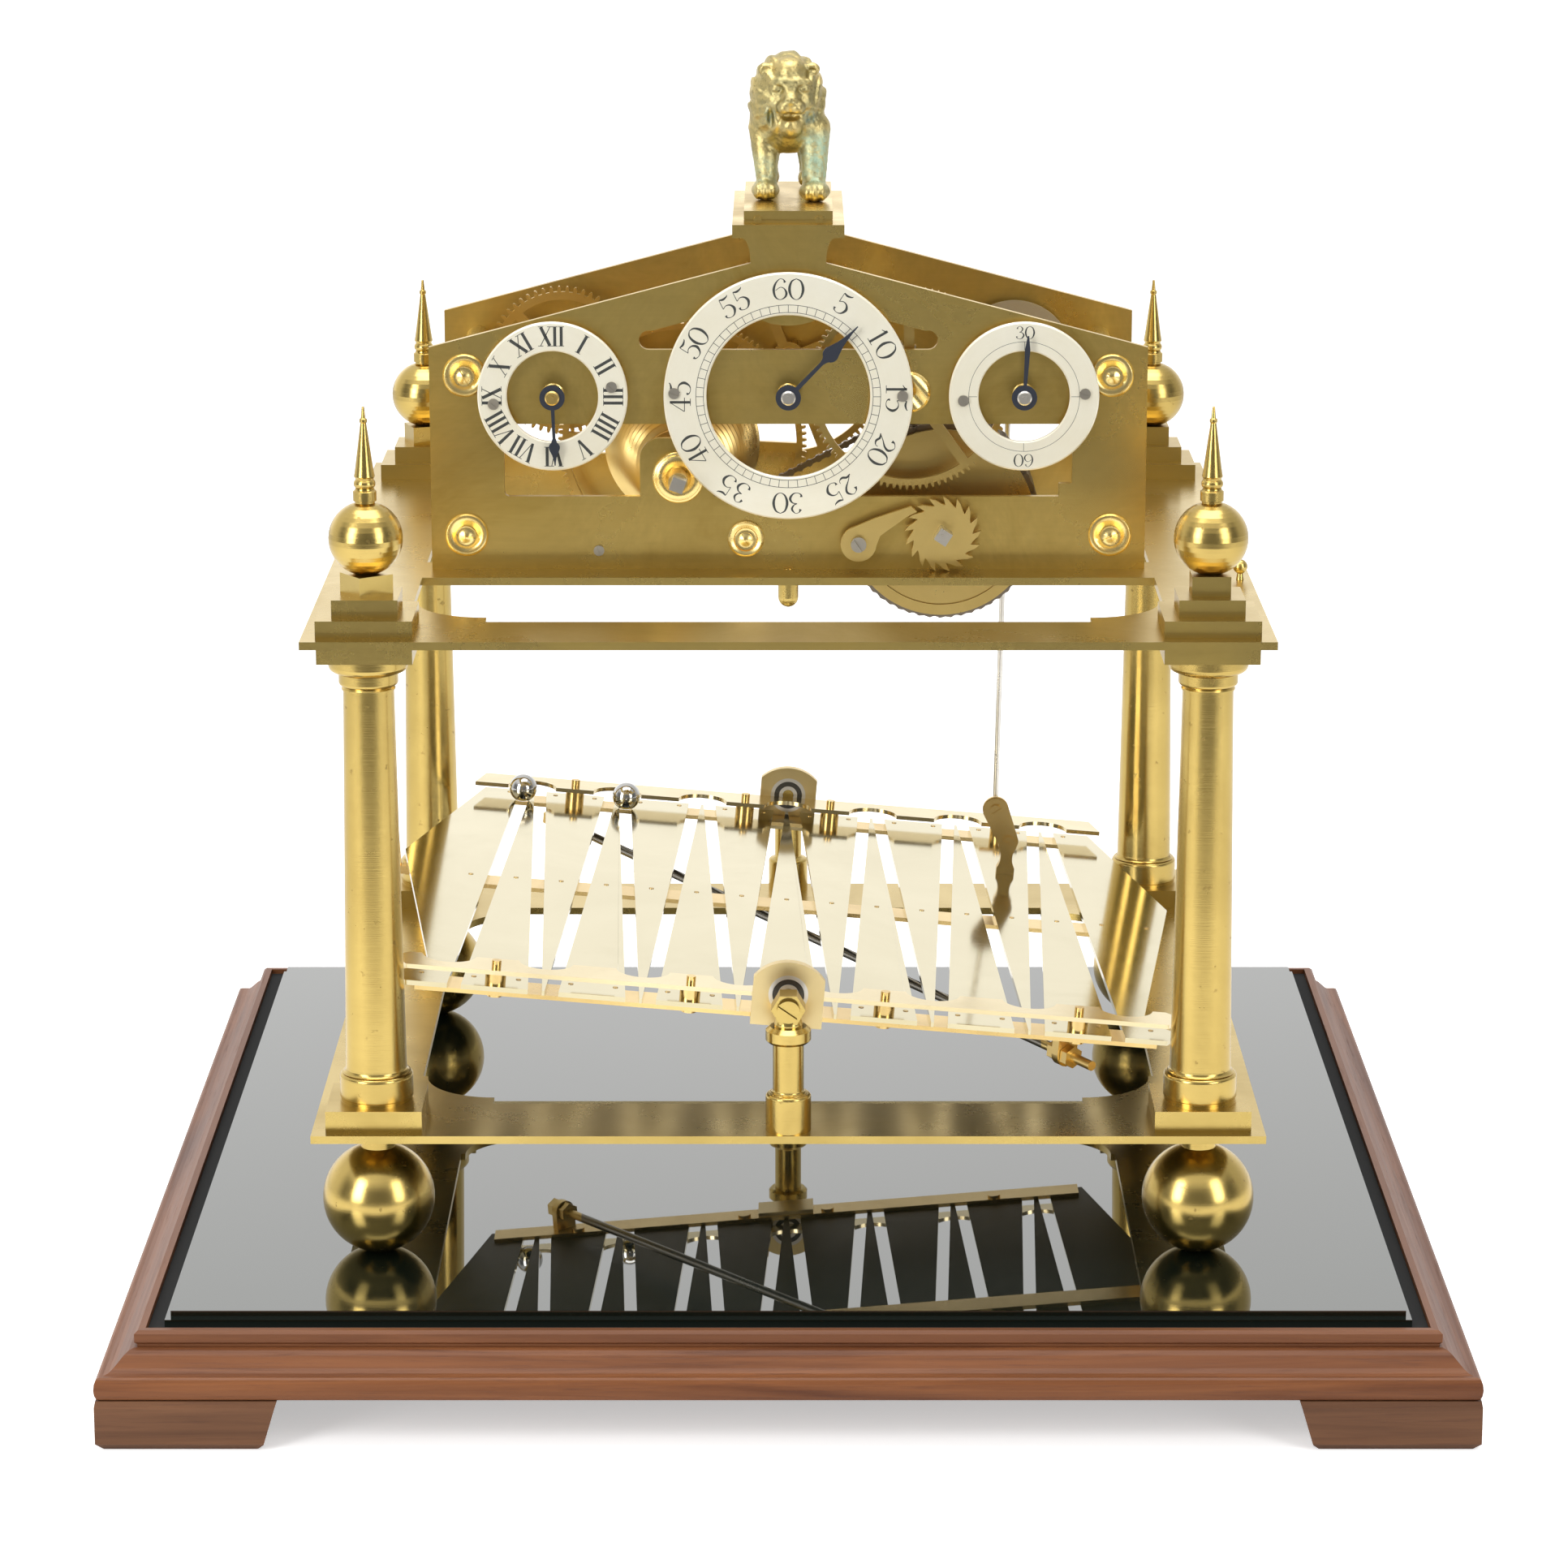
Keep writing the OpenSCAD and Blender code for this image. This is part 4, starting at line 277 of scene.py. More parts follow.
# By the record's slots; metal() takes bright and dull colour, roughness, its change and tarnish
materials = {
    # The wood's top faces get painted sheen in the third colour
    "wood": wood("wood", (0.21, 0.076, 0.026), (0.088, 0.027, 0.009), (0.17, 0.068, 0.03),
                 0.6, 0.38),
    "wood_feet": wood("wood_feet", (0.15, 0.066, 0.03), (0.078, 0.033, 0.015), (0.17, 0.1, 0.07),
                      0.0, 0.5),
    "felt": plain("felt", (0.006, 0.006, 0.006), 0.95),
    "glass": plain("glass", (0.004, 0.007, 0.005), 0.012, IOR=1.8, Coat_Weight=0.55,
                   Coat_IOR=1.8, Coat_Roughness=0.012, Specular_Tint=(0.97, 1.0, 0.9, 1)),
    "brass_columns": metal("brass_columns", (0.64, 0.47, 0.15), (0.42, 0.29, 0.08), 0.16, 0.1, 0.5,
                           grain=(6, 6, 2600), streak=0.25, bump=0.12, spot_level=0.68,
                           spot_scale=260.0, spot_color=(0.2, 0.12, 0.04, 1)),
    "brass_frame": metal("brass_frame", (0.62, 0.46, 0.15), (0.44, 0.31, 0.085), 0.22, 0.1, 0.6,
                         grain=(30, 700, 700), streak=0.15),
    "brass_plates": metal("brass_plates", (0.88, 0.65, 0.21), (0.42, 0.29, 0.075), 0.21, 0.16, 0.9,
                          cloud=16.0, grain=(30, 30, 700), streak=0.16, spot_level=0.78,
                          spot_scale=420.0, spot_color=(0.3, 0.2, 0.07, 1)),
    "brass_small": metal("brass_small", (0.86, 0.64, 0.23), (0.6, 0.43, 0.14), 0.27, 0.08, 0.5),
    "steel": metal("steel", (0.76, 0.73, 0.67), (0.5, 0.47, 0.41), 0.24, 0.1, 0.4),
    "chain_steel": metal("chain_steel", (0.3, 0.25, 0.19), (0.12, 0.09, 0.06), 0.3, 0.1, 0.5),
    "brass_wheels": metal("brass_wheels", (0.8, 0.58, 0.2), (0.5, 0.34, 0.1), 0.24, 0.1, 0.6),
    "blued_steel": plain("blued_steel", (0.085, 0.095, 0.125), 0.3, 0.85),
    # The table's faces that look down get painted shade in the colour given last
    "brass_table": metal("brass_table", (0.64, 0.57, 0.37), (0.52, 0.45, 0.26), 0.06, 0.05, 0.4,
                         cloud=11.0, grain=(40, 500, 40), streak=0.05, bump=0.01,
                         underside_shade=(0.1, 0.085, 0.06, 1)),
    "brass_fittings": metal("brass_fittings", (0.82, 0.6, 0.25), (0.5, 0.34, 0.12), 0.17, 0.1, 0.5),
    "ball_steel": metal("ball_steel", (0.62, 0.61, 0.59), (0.5, 0.48, 0.45), 0.06, 0.04, 0.3),
    "ink": plain("ink", (0.035, 0.038, 0.035), 0.5),
}


def silvered_material():
    """Silvered face: fine rings round each dial's centre and a soft warm bloom."""
    material, n, shader, where = new_material("silvered")
    x, _, z = n.split(where)
    side = n.math("MULTIPLY", n.math("ROUND", n.math("DIVIDE", x, DIAL_X * MM)), DIAL_X * MM)
    dx = n.math("SUBTRACT", x, side)
    dz = n.math("SUBTRACT", z, DIAL_Z * MM)
    turn = n.math("ARCTAN2", dx, dz)
    rings_v = n.add("ShaderNodeCombineXYZ", inputs={
        0: n.math("MULTIPLY", n.length(dx, dz), 2600.0), 1: n.math("MULTIPLY", turn, 1.2),
        2: side})
    rings = n.noise(rings_v.outputs[0], 1.0, 3.0, 0.6)
    cloud = n.ramp(n.noise(where, 38.0, 4.0, 0.6), 0.35, 0.7)
    tint = n.math("MULTIPLY_ADD", rings, 0.25, n.math("MULTIPLY", cloud, 0.45))
    color = n.mix(tint, (0.88, 0.85, 0.72, 1), (0.74, 0.69, 0.53, 1))
    rough = n.math("MULTIPLY_ADD", cloud, 0.08, 0.3)
    set_inputs(shader, Base_Color=color, Roughness=rough, Normal=n.bump(rings, 0.05, 0.0001),
               Metallic=0.35)
    return material


def lion_material():
    """Cast bronze, worn bright, with grey-green patina in clouds and verdigris on the legs."""
    material, n, shader, where = new_material("lion_bronze")
    x, _, z = n.split(where)
    cloud = n.ramp(n.noise(where, 75.0, 5.0, 0.65, 0.8), 0.4, 0.66)
    grit = n.noise(where, 700.0, 4.0, 0.7)
    color = n.mix(cloud, (0.62, 0.49, 0.2, 1), (0.34, 0.3, 0.14, 1))
    color = n.mix(n.ramp(grit, 0.55, 0.72), color, (0.2, 0.16, 0.07, 1))
    low = n.math("MULTIPLY", n.ramp(z, 0.4845, 0.478), n.ramp(z, 0.459, 0.464))
    right = n.ramp(x, 0.002, 0.009)
    left = n.math("MULTIPLY", n.ramp(x, -0.002, -0.008), n.ramp(z, 0.474, 0.467))
    legs = n.math("MULTIPLY", low, n.math("MAXIMUM", right, n.math("MULTIPLY", left, 0.8)))
    patches = n.ramp(n.noise(where, 190.0, 5.0, 0.7, 0.5), 0.38, 0.62)
    green = n.math("MULTIPLY", legs, n.math("MULTIPLY_ADD", patches, 0.6, 0.12))
    color = n.mix(green, color, (0.33, 0.56, 0.46, 1))
    cheek = n.math("MULTIPLY", n.ramp(z, 0.484, 0.487), n.ramp(z, 0.496, 0.49))
    from_nose = n.math("ABSOLUTE", n.math("SUBTRACT", x, 0.0008))
    cheek = n.math("MULTIPLY", cheek, n.ramp(from_nose, 0.0048, 0.0068))
    cheek = n.math("MULTIPLY", cheek, n.ramp(n.math("ABSOLUTE", x), 0.0125, 0.0105))
    cheek = n.math("MULTIPLY", cheek, n.math("MULTIPLY", patches, 0.85))
    color = n.mix(cheek, color, (0.14, 0.24, 0.22, 1))
    rough = n.math("MULTIPLY_ADD", grit, 0.25, n.math("MULTIPLY_ADD", green, 0.3, 0.27))
    shine = n.math("SUBTRACT", 1.0, n.math("MULTIPLY", green, 0.85))
    height = n.math("MULTIPLY_ADD", n.noise(where, 330.0, 3.0, 0.6), 1.5, grit)
    set_inputs(shader, Base_Color=color, Roughness=rough, Metallic=shine,
               Normal=n.bump(height, 0.45, 0.0004))
    return material


def bearing_material():
    """Ball bearing seen from its face: bright outer and inner ring, dark shield between them."""
    material, n, shader, where = new_material("bearing")
    x, _, z = n.split(where)
    far = n.from_centre(x, z, (0.0, PIVOT_Z))
    ring = n.math("MAXIMUM", n.math("GREATER_THAN", far, 0.0064), n.math("LESS_THAN", far, 0.0042))
    color = n.mix(ring, (0.09, 0.085, 0.075, 1), (0.72, 0.69, 0.63, 1))
    set_inputs(shader, Base_Color=color, Metallic=0.85, Roughness=0.28)
    return material


def reopen(material):
    """Node helper and shader of a material, the object coordinates' three parts, and what
    feeds the shader's input of a given name."""
    n = Nodes(material.node_tree)
    shader = material.node_tree.nodes["Principled BSDF"]
    parts = n.split(n.add("ShaderNodeTexCoord").outputs["Object"])
    return n, shader, parts, lambda label: shader.inputs[label].links[0].from_socket


def turned_material(name, centres):
    """Bright turned brass with a dished face round each centre, given as X and Z."""
    material = metal(name, (0.95, 0.75, 0.31), (0.75, 0.55, 0.2), 0.2, 0.06, 0.4)
    n, shader, (x, _, z), source = reopen(material)
    near = 1.0
    for centre in centres:
        near = n.math("MINIMUM", n.from_centre(x, z, centre), near)
    wave = n.math("COSINE", n.math("MULTIPLY", near, 850.0))
    set_inputs(shader, Normal=n.bump(wave, 0.9, 0.0005, Normal=source("Normal")))
    return material


def steel_part_material(name, axis, low, high, tone):
    """Brass that turns to steel of the given tone between two places along an axis, in metres."""
    material = metal(name, (0.86, 0.65, 0.27), (0.6, 0.42, 0.14), 0.24, 0.08, 0.4)
    n, shader, parts, source = reopen(material)
    steel = n.math("MULTIPLY", n.math("GREATER_THAN", parts[axis], low),
                   n.math("LESS_THAN", parts[axis], high))
    set_inputs(shader, Base_Color=n.mix(steel, source("Base Color"), tone))
    return material


materials["silvered"] = silvered_material()
materials["lion_bronze"] = lion_material()

# Nodes whose finish differs from that of their slot
own_looks = {
    "pillar_screws": turned_material("brass_turned", PILLARS),
    "plate_bushes": turned_material("bush_turned", [FUSEE_C, BOSS_C]),
    "fusee": steel_part_material("fusee_metal", 1, -1.0, -0.0655, (0.7, 0.67, 0.61, 1)),
    "small_screws": metal("screw_steel", (0.62, 0.58, 0.5), (0.4, 0.36, 0.29), 0.25, 0.08, 0.4),
    "ball_bearings": bearing_material(),
    "truss_rod": steel_part_material("truss_metal", 0, -0.097, 0.103, (0.34, 0.32, 0.28, 1)),
    "guard_rails": metal("brass_rails", (0.78, 0.66, 0.4), (0.6, 0.48, 0.25), 0.12, 0.08, 0.4),
    "bearing_brackets": metal("brass_brackets", (0.82, 0.66, 0.34), (0.6, 0.45, 0.2),
                              0.3, 0.08, 0.5),
}

slot_of = {s["node"]: s["material_slot"] for s in frame["record"]["subparts"]}
for name, obj in nodes.items():
    obj.data.materials.clear()
    obj.data.materials.append(own_looks.get(name) or materials[slot_of[name]])


# ---------------------------------------------------------------- meshes

def new_object(name, data):
    """Object at the origin that holds the data, linked to the scene."""
    obj = bpy.data.objects.new(name, data)
    bpy.context.scene.collection.objects.link(obj)
    return obj


def mesh_object(name, verts, blocks, material, smooth=False):
    """Object from vertices in millimetres and blocks of faces, each of one length."""
    mesh = bpy.data.meshes.new(name)
    faces = sum((np.asarray(block).tolist() for block in blocks), [])
    mesh.from_pydata((np.asarray(verts, float) * MM).tolist(), [], faces)
    mesh.update()
    if smooth:
        mesh.shade_smooth()
    else:
        mesh.shade_flat()
    mesh.materials.append(material)
    return new_object(name, mesh)


def add_piece(name, verts, blocks, slot, body="frame", smooth=False, material=None):
    """Visible piece that rides on a body; material names another finish than the slot's."""
    obj = mesh_object(name, verts, blocks, materials[material or slot], smooth)
    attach(obj, body)
    return obj


def join_parts(parts):
    """Joins (verts, quads) pairs into one pair of vertices and a block of quads."""
    offset, all_v, all_f = 0, [], []
    for v, f in parts:
        all_v.append(v)
        all_f.append(f + offset)
        offset += len(v)
    return np.vstack(all_v), [np.vstack(all_f)]


def ribbon(points, widths, thick=0.05):
    """Closed flat strip along a drawn line: each point is moved half the width to both
    sides along the line's normal, and the strip is given a small thickness."""
    p = np.asarray(points, float)
    w = np.broadcast_to(np.asarray(widths, float), (len(p),))[:, None] / 2
    t = np.gradient(p, axis=0)
    t /= np.linalg.norm(t, axis=1, keepdims=True) + 1e-9
    side = np.stack([-t[:, 1], t[:, 0]], 1)
    left, right = p + side * w, p - side * w
    k = len(p)
    v = np.vstack([left, right, left, right])
    v = np.column_stack([v, np.r_[np.zeros(2 * k), np.full(2 * k, thick)]])
    i = np.arange(k - 1)
    quads = [
        np.stack([i, i + 1, k + i + 1, k + i], 1),
        np.stack([2 * k + i, 3 * k + i, 3 * k + i + 1, 2 * k + i + 1], 1),
        np.stack([i, 2 * k + i, 2 * k + i + 1, i + 1], 1),
        np.stack([k + i, k + i + 1, 3 * k + i + 1, 3 * k + i], 1),
        np.array([[0, k, 3 * k, 2 * k], [k - 1, 3 * k - 1, 4 * k - 1, 2 * k - 1]]),
    ]
    return v, np.vstack(quads)


def smooth_line(control, steps=8):
    """Catmull-Rom curve through control points of (x, y, width)."""
    c = np.asarray(control, float)
    c = np.vstack([2 * c[0] - c[1], c, 2 * c[-1] - c[-2]])
    t = np.linspace(0, 1, steps, endpoint=False)[:, None]
    rows = []
    for a, b, d, e in zip(c[:-3], c[1:-2], c[2:-1], c[3:]):
        rows.append(0.5 * (2 * b + (d - a) * t + (2 * a - 5 * b + 4 * d - e) * t ** 2
                           + (3 * b - a - 3 * d + e) * t ** 3))
    out = np.vstack(rows + [c[-2][None]])
    out[:, 2] = np.clip(out[:, 2], 0.015, 1)
    return out


# Strokes of the numerals in a box one unit high: (x, y, width) along each stroke
DIGITS = {
    "0": [[(0, 1, .03), (-.2, .86, .08), (-.29, .5, .13), (-.2, .14, .08), (0, 0, .03),
           (.2, .14, .08), (.29, .5, .13), (.2, .86, .08), (0, 1, .03)]],
    "1": [[(.02, 0, .12), (.02, .5, .12), (.02, 1, .12)],
          [(-.16, .8, .03), (-.05, .88, .05), (.02, .99, .06)],
          [(-.15, .01, .03), (.19, .01, .03)]],
    "2": [[(-.2, .72, .15), (-.17, .88, .05), (.02, .99, .03), (.22, .8, .11), (.16, .55, .09),
           (-.08, .28, .04), (-.26, .03, .03)],
          [(-.26, .05, .05), (-.08, .12, .1), (.1, .03, .1), (.26, .1, .04), (.29, .24, .03)]],
    "3": [[(-.19, .8, .13), (-.12, .95, .04), (.04, .99, .03), (.18, .8, .1), (.1, .6, .06),
           (-.04, .53, .03)],
          [(-.04, .53, .03), (.16, .48, .06), (.26, .28, .12), (.14, .06, .07), (-.04, 0, .03),
           (-.2, .08, .06), (-.22, .2, .13)]],
    "4": [[(.1, 0, .12), (.1, .5, .12), (.1, .99, .12)], [(.08, .97, .03), (-.3, .3, .04)],
          [(-.3, .29, .035), (.3, .29, .035)], [(-.05, .01, .03), (.26, .01, .03)]],
    "5": [[(-.15, .99, .05), (.02, .93, .1), (.2, .97, .06), (.26, 1.03, .03)],
          [(-.15, .97, .03), (-.17, .52, .035)],
          [(-.17, .52, .03), (0, .6, .04), (.18, .52, .08), (.26, .3, .13), (.14, .06, .07),
           (-.04, 0, .03), (-.2, .07, .05), (-.22, .19, .12)]],
    "6": [[(.2, .82, .12), (.13, .96, .04), (-.02, .99, .03), (-.2, .78, .08), (-.28, .45, .12),
           (-.2, .12, .08), (0, 0, .03), (.2, .12, .08), (.26, .32, .11), (.16, .53, .05),
           (0, .59, .03), (-.2, .44, .03)]],
}
ROMAN = {
    "I": ([[(0, 0.03, .15), (0, .97, .15)], [(-.15, .015, .03), (.15, .015, .03)],
           [(-.15, .985, .03), (.15, .985, .03)]], .34),
    "V": ([[(-.24, .97, .16), (0, .02, .13)], [(.02, .02, .04), (.24, .97, .04)],
           [(-.38, .985, .03), (-.1, .985, .03)], [(.12, .985, .03), (.36, .985, .03)]], .62),
    "X": ([[(-.24, .97, .16), (.24, .03, .16)], [(-.24, .03, .04), (.24, .97, .04)],
           [(-.38, .015, .03), (-.1, .015, .03)], [(.1, .015, .03), (.38, .015, .03)],
           [(-.38, .985, .03), (-.1, .985, .03)], [(.1, .985, .03), (.38, .985, .03)]], .66),
}


def glyph_strips(text):
    """Strips of a word set on one line and centred on x = 0, one unit high."""
    advance = [ROMAN[c][1] if c in ROMAN else 0.68 for c in text]
    x = -sum(advance) / 2
    strips = []
    for c, step in zip(text, advance):
        strokes = ROMAN[c][0] if c in ROMAN else DIGITS[c]
        for stroke in strokes:
            line = smooth_line(stroke) if len(stroke) > 2 else np.asarray(stroke, float)
            strips.append(line + np.array([x + step / 2, 0, 0]))
        x += step
    return strips


def dial_mark(points, widths, angle, centre):
    """Strip drawn upright over the dial's centre, turned clockwise and laid on the dial."""
    v, f = ribbon(points, widths)
    a = math.radians(angle)
    x = v[:, 0] * math.cos(a) + v[:, 1] * math.sin(a)
    z = -v[:, 0] * math.sin(a) + v[:, 1] * math.cos(a)
    return np.column_stack([x + centre[0], DIAL_FRONT - 0.03 + v[:, 2], z + centre[1]]), f


def numeral(text, angle, centre, radius, height, squeeze=1.0):
    """Numeral whose foot is at the radius, with its top pointing outward."""
    made = []
    for line in glyph_strips(text):
        points = np.column_stack([line[:, 0] * height * squeeze, radius + line[:, 1] * height])
        made.append(dial_mark(points, line[:, 2] * height, angle, centre))
    return made


def circle_line(centre, radius, width):
    """Engraved circle, drawn by its angle in 144 steps."""
    a = np.linspace(0, 2 * math.pi, 145)
    return [dial_mark(np.column_stack([radius * np.sin(a), radius * np.cos(a)]), width, 0, centre)]


def radial_lines(centre, track, width, count):
    """Lines from the inner to the outer radius of a track, evenly spread round the dial."""
    ends = [(0, radius) for radius in track]
    return [dial_mark(ends, width, 360 / count * i, centre) for i in range(count)]


# Inner and outer radius of the engraved tracks; foot radius, height and squeeze of the numerals
MINUTE_TRACK, MINUTE_NUMERAL = (34.9, 38.0), (40.2, 8.6, 1.12)
SECONDS_TRACK, SECONDS_NUMERAL = (19.4, 22.8), (24.0, 5.2, 1.15)
HOUR_NUMERAL = (20.9, 8.2, 0.95)


def minute_markings():
    """Track of sixty boxes with a numeral every five minutes."""
    parts = [strip for radius in MINUTE_TRACK for strip in circle_line(MINUTE_C, radius, 0.22)]
    parts += radial_lines(MINUTE_C, MINUTE_TRACK, 0.22, 60)
    for i in range(12):
        parts += numeral(str(5 * i if i else 60), 30 * i, MINUTE_C, *MINUTE_NUMERAL)
    return parts


def hour_markings():
    """Twelve Roman numerals, with four written as IIII."""
    names = ["XII", "I", "II", "III", "IIII", "V", "VI", "VII", "VIII", "IX", "X", "XI"]
    parts = []
    for i, text in enumerate(names):
        parts += numeral(text, 30 * i, HOUR_C, *HOUR_NUMERAL)
    return parts


def seconds_markings():
    """One circle, four quarter lines, and 30 over 60."""
    parts = circle_line(SECONDS_C, SECONDS_TRACK[1], 0.16)
    parts += radial_lines(SECONDS_C, SECONDS_TRACK, 0.18, 4)
    parts += numeral("30", 0, SECONDS_C, *SECONDS_NUMERAL)
    parts += numeral("60", 180, SECONDS_C, *SECONDS_NUMERAL)
    return parts


for name, marks in (("minute_marks", minute_markings), ("hour_marks", hour_markings),
                    ("seconds_marks", seconds_markings)):
    add_piece(name, *join_parts(marks()), "silvered", material="ink")


# ---------------------------------------------------------------- lion

LION_LOW, LION_HIGH = (-18, -25, -1), (18.6, 54.5, 63)
LION_NET = 0.46      # grid step of the surface net
LION_CLEAR = 0.02    # the paws' gap over the plinth


def capsule(p, a, ra, b, rb):
    """Distance to a segment from a to b, less a radius that runs from ra to rb along it."""
    a, b = np.array(a, np.float32), np.array(b, np.float32)
    ab = b - a
    t = np.clip(((p - a) @ ab) / (ab @ ab), 0, 1)
    near = a + t[..., None] * ab
    return np.linalg.norm(p - near, axis=-1) - (ra + (rb - ra) * t)


def egg(p, centre, radii):
    """Approximate distance to an ellipsoid: (k - 1) times k over the length of its gradient."""
    q = p - np.array(centre, np.float32)
    r = np.array(radii, np.float32)
    k = np.linalg.norm(q / r, axis=-1)
    g = np.linalg.norm(q / (r * r), axis=-1) + 1e-6
    return k * (k - 1) / g


def blend_in(a, b, k):
    """Smooth minimum: the smaller value, less a rounding of width k where both are close."""
    h = np.clip(0.5 + 0.5 * (b - a) / k, 0, 1)
    return b + (a - b) * h - k * h * (1 - h)


def cut_out(a, b, k):
    """Smooth difference: shape a without shape b."""
    return -blend_in(-a, b, k)


def lion_field(p):
    """Signed distance of the lion: body, legs and head of eggs and tapered limbs, a mane whose
    locks are sine ridges that run outward from the face, and hollows for eyes and mouth."""
    x, y, z = p[..., 0], p[..., 1], p[..., 2]
    f = capsule(p, (0, 6, 32.5), 12.4, (0, 33, 33), 10.6)
    f = blend_in(f, egg(p, (0.3, -1, 28), (12.5, 11, 10)), 3)
    f = blend_in(f, egg(p, (0, 35, 32), (11, 9.5, 10.5)), 4)
    for a, ra, b, rb, paw, size in (
            ((-10.0, -3, 29), 6.6, (-9.0, -8.5, 8), 4.3, (-9.5, -12.6, 4.0), (5.9, 6.6, 4.2)),
            ((10.8, -5, 29), 6.8, (10.7, -12, 8), 4.9, (10.9, -17.2, 4.1), (6.5, 6.6, 4.4)),
            ((-8.4, 34, 27), 7.2, (-8.2, 38, 8), 3.8, (-8.3, 35, 3.8), (4.6, 6.2, 4.0)),
            ((8.8, 33, 27), 7.2, (8.6, 33, 8), 3.8, (8.7, 30, 3.8), (4.6, 6.2, 4.0))):
        limb = blend_in(capsule(p, a, ra, b, rb), egg(p, paw, size), 2.2)
        toes = 0.28 * np.cos((x - paw[0]) * 1.75) * np.clip((paw[1] + 1 - y) / 3, 0, 1)
        limb = limb - toes * np.clip((9 - z) / 3, 0, 1)
        f = blend_in(f, limb, 2.6)
    dx, dz = x - 0.4, z - 42.0
    turn = np.arctan2(dx, dz)
    reach = np.hypot(dx, dz * 0.86)
    sweep = x * np.abs(x) / 26 + 0.5 * np.sin(z * 0.35 + y * 0.2)
    locks = np.sin(turn * 7 + sweep + 1.1 * np.sin(reach * 0.5) + y * 0.2)
    locks = locks + 0.5 * np.sin(turn * 19 - reach * 0.5 + 1.3 + y * 0.35)
    mane = egg(p, (-0.4, -2.5, 40.2), (16.0, 15.5, 20.2))
    mane = blend_in(mane, egg(p, (0, 9, 40), (11.5, 12, 14)), 5)
    mane = mane - 0.42 * locks * np.clip((reach - 7) / 4, 0, 1)
    f = blend_in(f, mane, 2.4)
    f = cut_out(f, egg(p, (0.8, -23.5, 41.5), (9.0, 10.5, 15.0)), 1.6)
    head = egg(p, (0.6, -9.5, 45.5), (9.4, 10, 9.6))
    head = blend_in(head, egg(p, (0.4, -8.5, 53.5), (6.6, 8, 5.5)), 2.5)
    head = blend_in(head, capsule(p, (0.9, -15, 46), 3.6, (1.0, -19.4, 41.8), 3.1), 1.6)
    for s in (-1, 1):
        head = blend_in(head, egg(p, (1.0 + 2.5 * s, -17.6, 38.9), (3.4, 4.6, 3.4)), 1.1)
        head = blend_in(head, egg(p, (0.8 + 6.3 * s, -13, 41.0), (3.3, 4.2, 4.6)), 1.8)
        head = cut_out(head, egg(p, (0.8 + 5.9 * s, -19.8, 46.3), (3.4, 3.6, 2.7)), 0.8)
        head = blend_in(head, egg(p, (0.8 + 5.8 * s, -15.6, 46.2), (2.5, 1.9, 1.8)), 0.3)
        head = blend_in(head, capsule(p, (0.8 + 2.9 * s, -17.3, 49.4), 1.1,
                                      (0.8 + 7.6 * s, -15.0, 49.3), 1.0), 1.4)
        ear = egg(p, (0.2 + 9.6 * s, -9.4, 53.8), (3.3, 2.3, 2.8))
        ear = cut_out(ear, egg(p, (0.2 + 9.4 * s, -12.0, 53.2), (2.0, 1.8, 1.5)), 0.6)
        head = blend_in(head, ear, 1.0)
    head = blend_in(head, egg(p, (1.0, -20.9, 42.3), (2.7, 1.9, 1.7)), 0.7)
    for s in (-1, 1):
        head = cut_out(head, egg(p, (1.0 + 1.35 * s, -22.8, 42.0), (0.75, 1.0, 0.6)), 0.3)
    head = blend_in(head, egg(p, (0.9, -12.5, 31.0), (5.4, 6.6, 5.4)), 1.5)
    head = cut_out(head, egg(p, (0.9, -20.0, 35.0), (4.3, 6.6, 1.9)), 0.7)
    head = blend_in(head, egg(p, (0.9, -15.6, 32.6), (2.9, 3.4, 1.5)), 0.5)
    f = blend_in(f, head, 0.9)
    for s in (-1, 1):
        f = cut_out(f, egg(p, (0.8 + 8.3 * s, -18.2, 33.2), (1.8, 5.0, 5.4)), 1.0)
    tail = capsule(p, (0, 42, 36), 2.6, (0, 48.6, 32.5), 1.9)
    tail = blend_in(tail, capsule(p, (0, 48.6, 32.5), 1.9, (0, 50.6, 25), 1.6), 1)
    tail = blend_in(tail, capsule(p, (0, 50.6, 25), 1.6, (0, 47.6, 19), 1.7), 1)
    tail = blend_in(tail, egg(p, (0, 46.2, 17.6), (2.4, 3.0, 3.0)), 1)
    f = blend_in(f, tail, 1.6)
    rough = np.sin(x * 1.3 + 0.7 * z) * np.sin(y * 1.1 - 0.4 * z) * np.sin(z * 1.2 + 0.5 * x)
    return np.maximum(f - 0.12 * rough, LION_CLEAR - z)


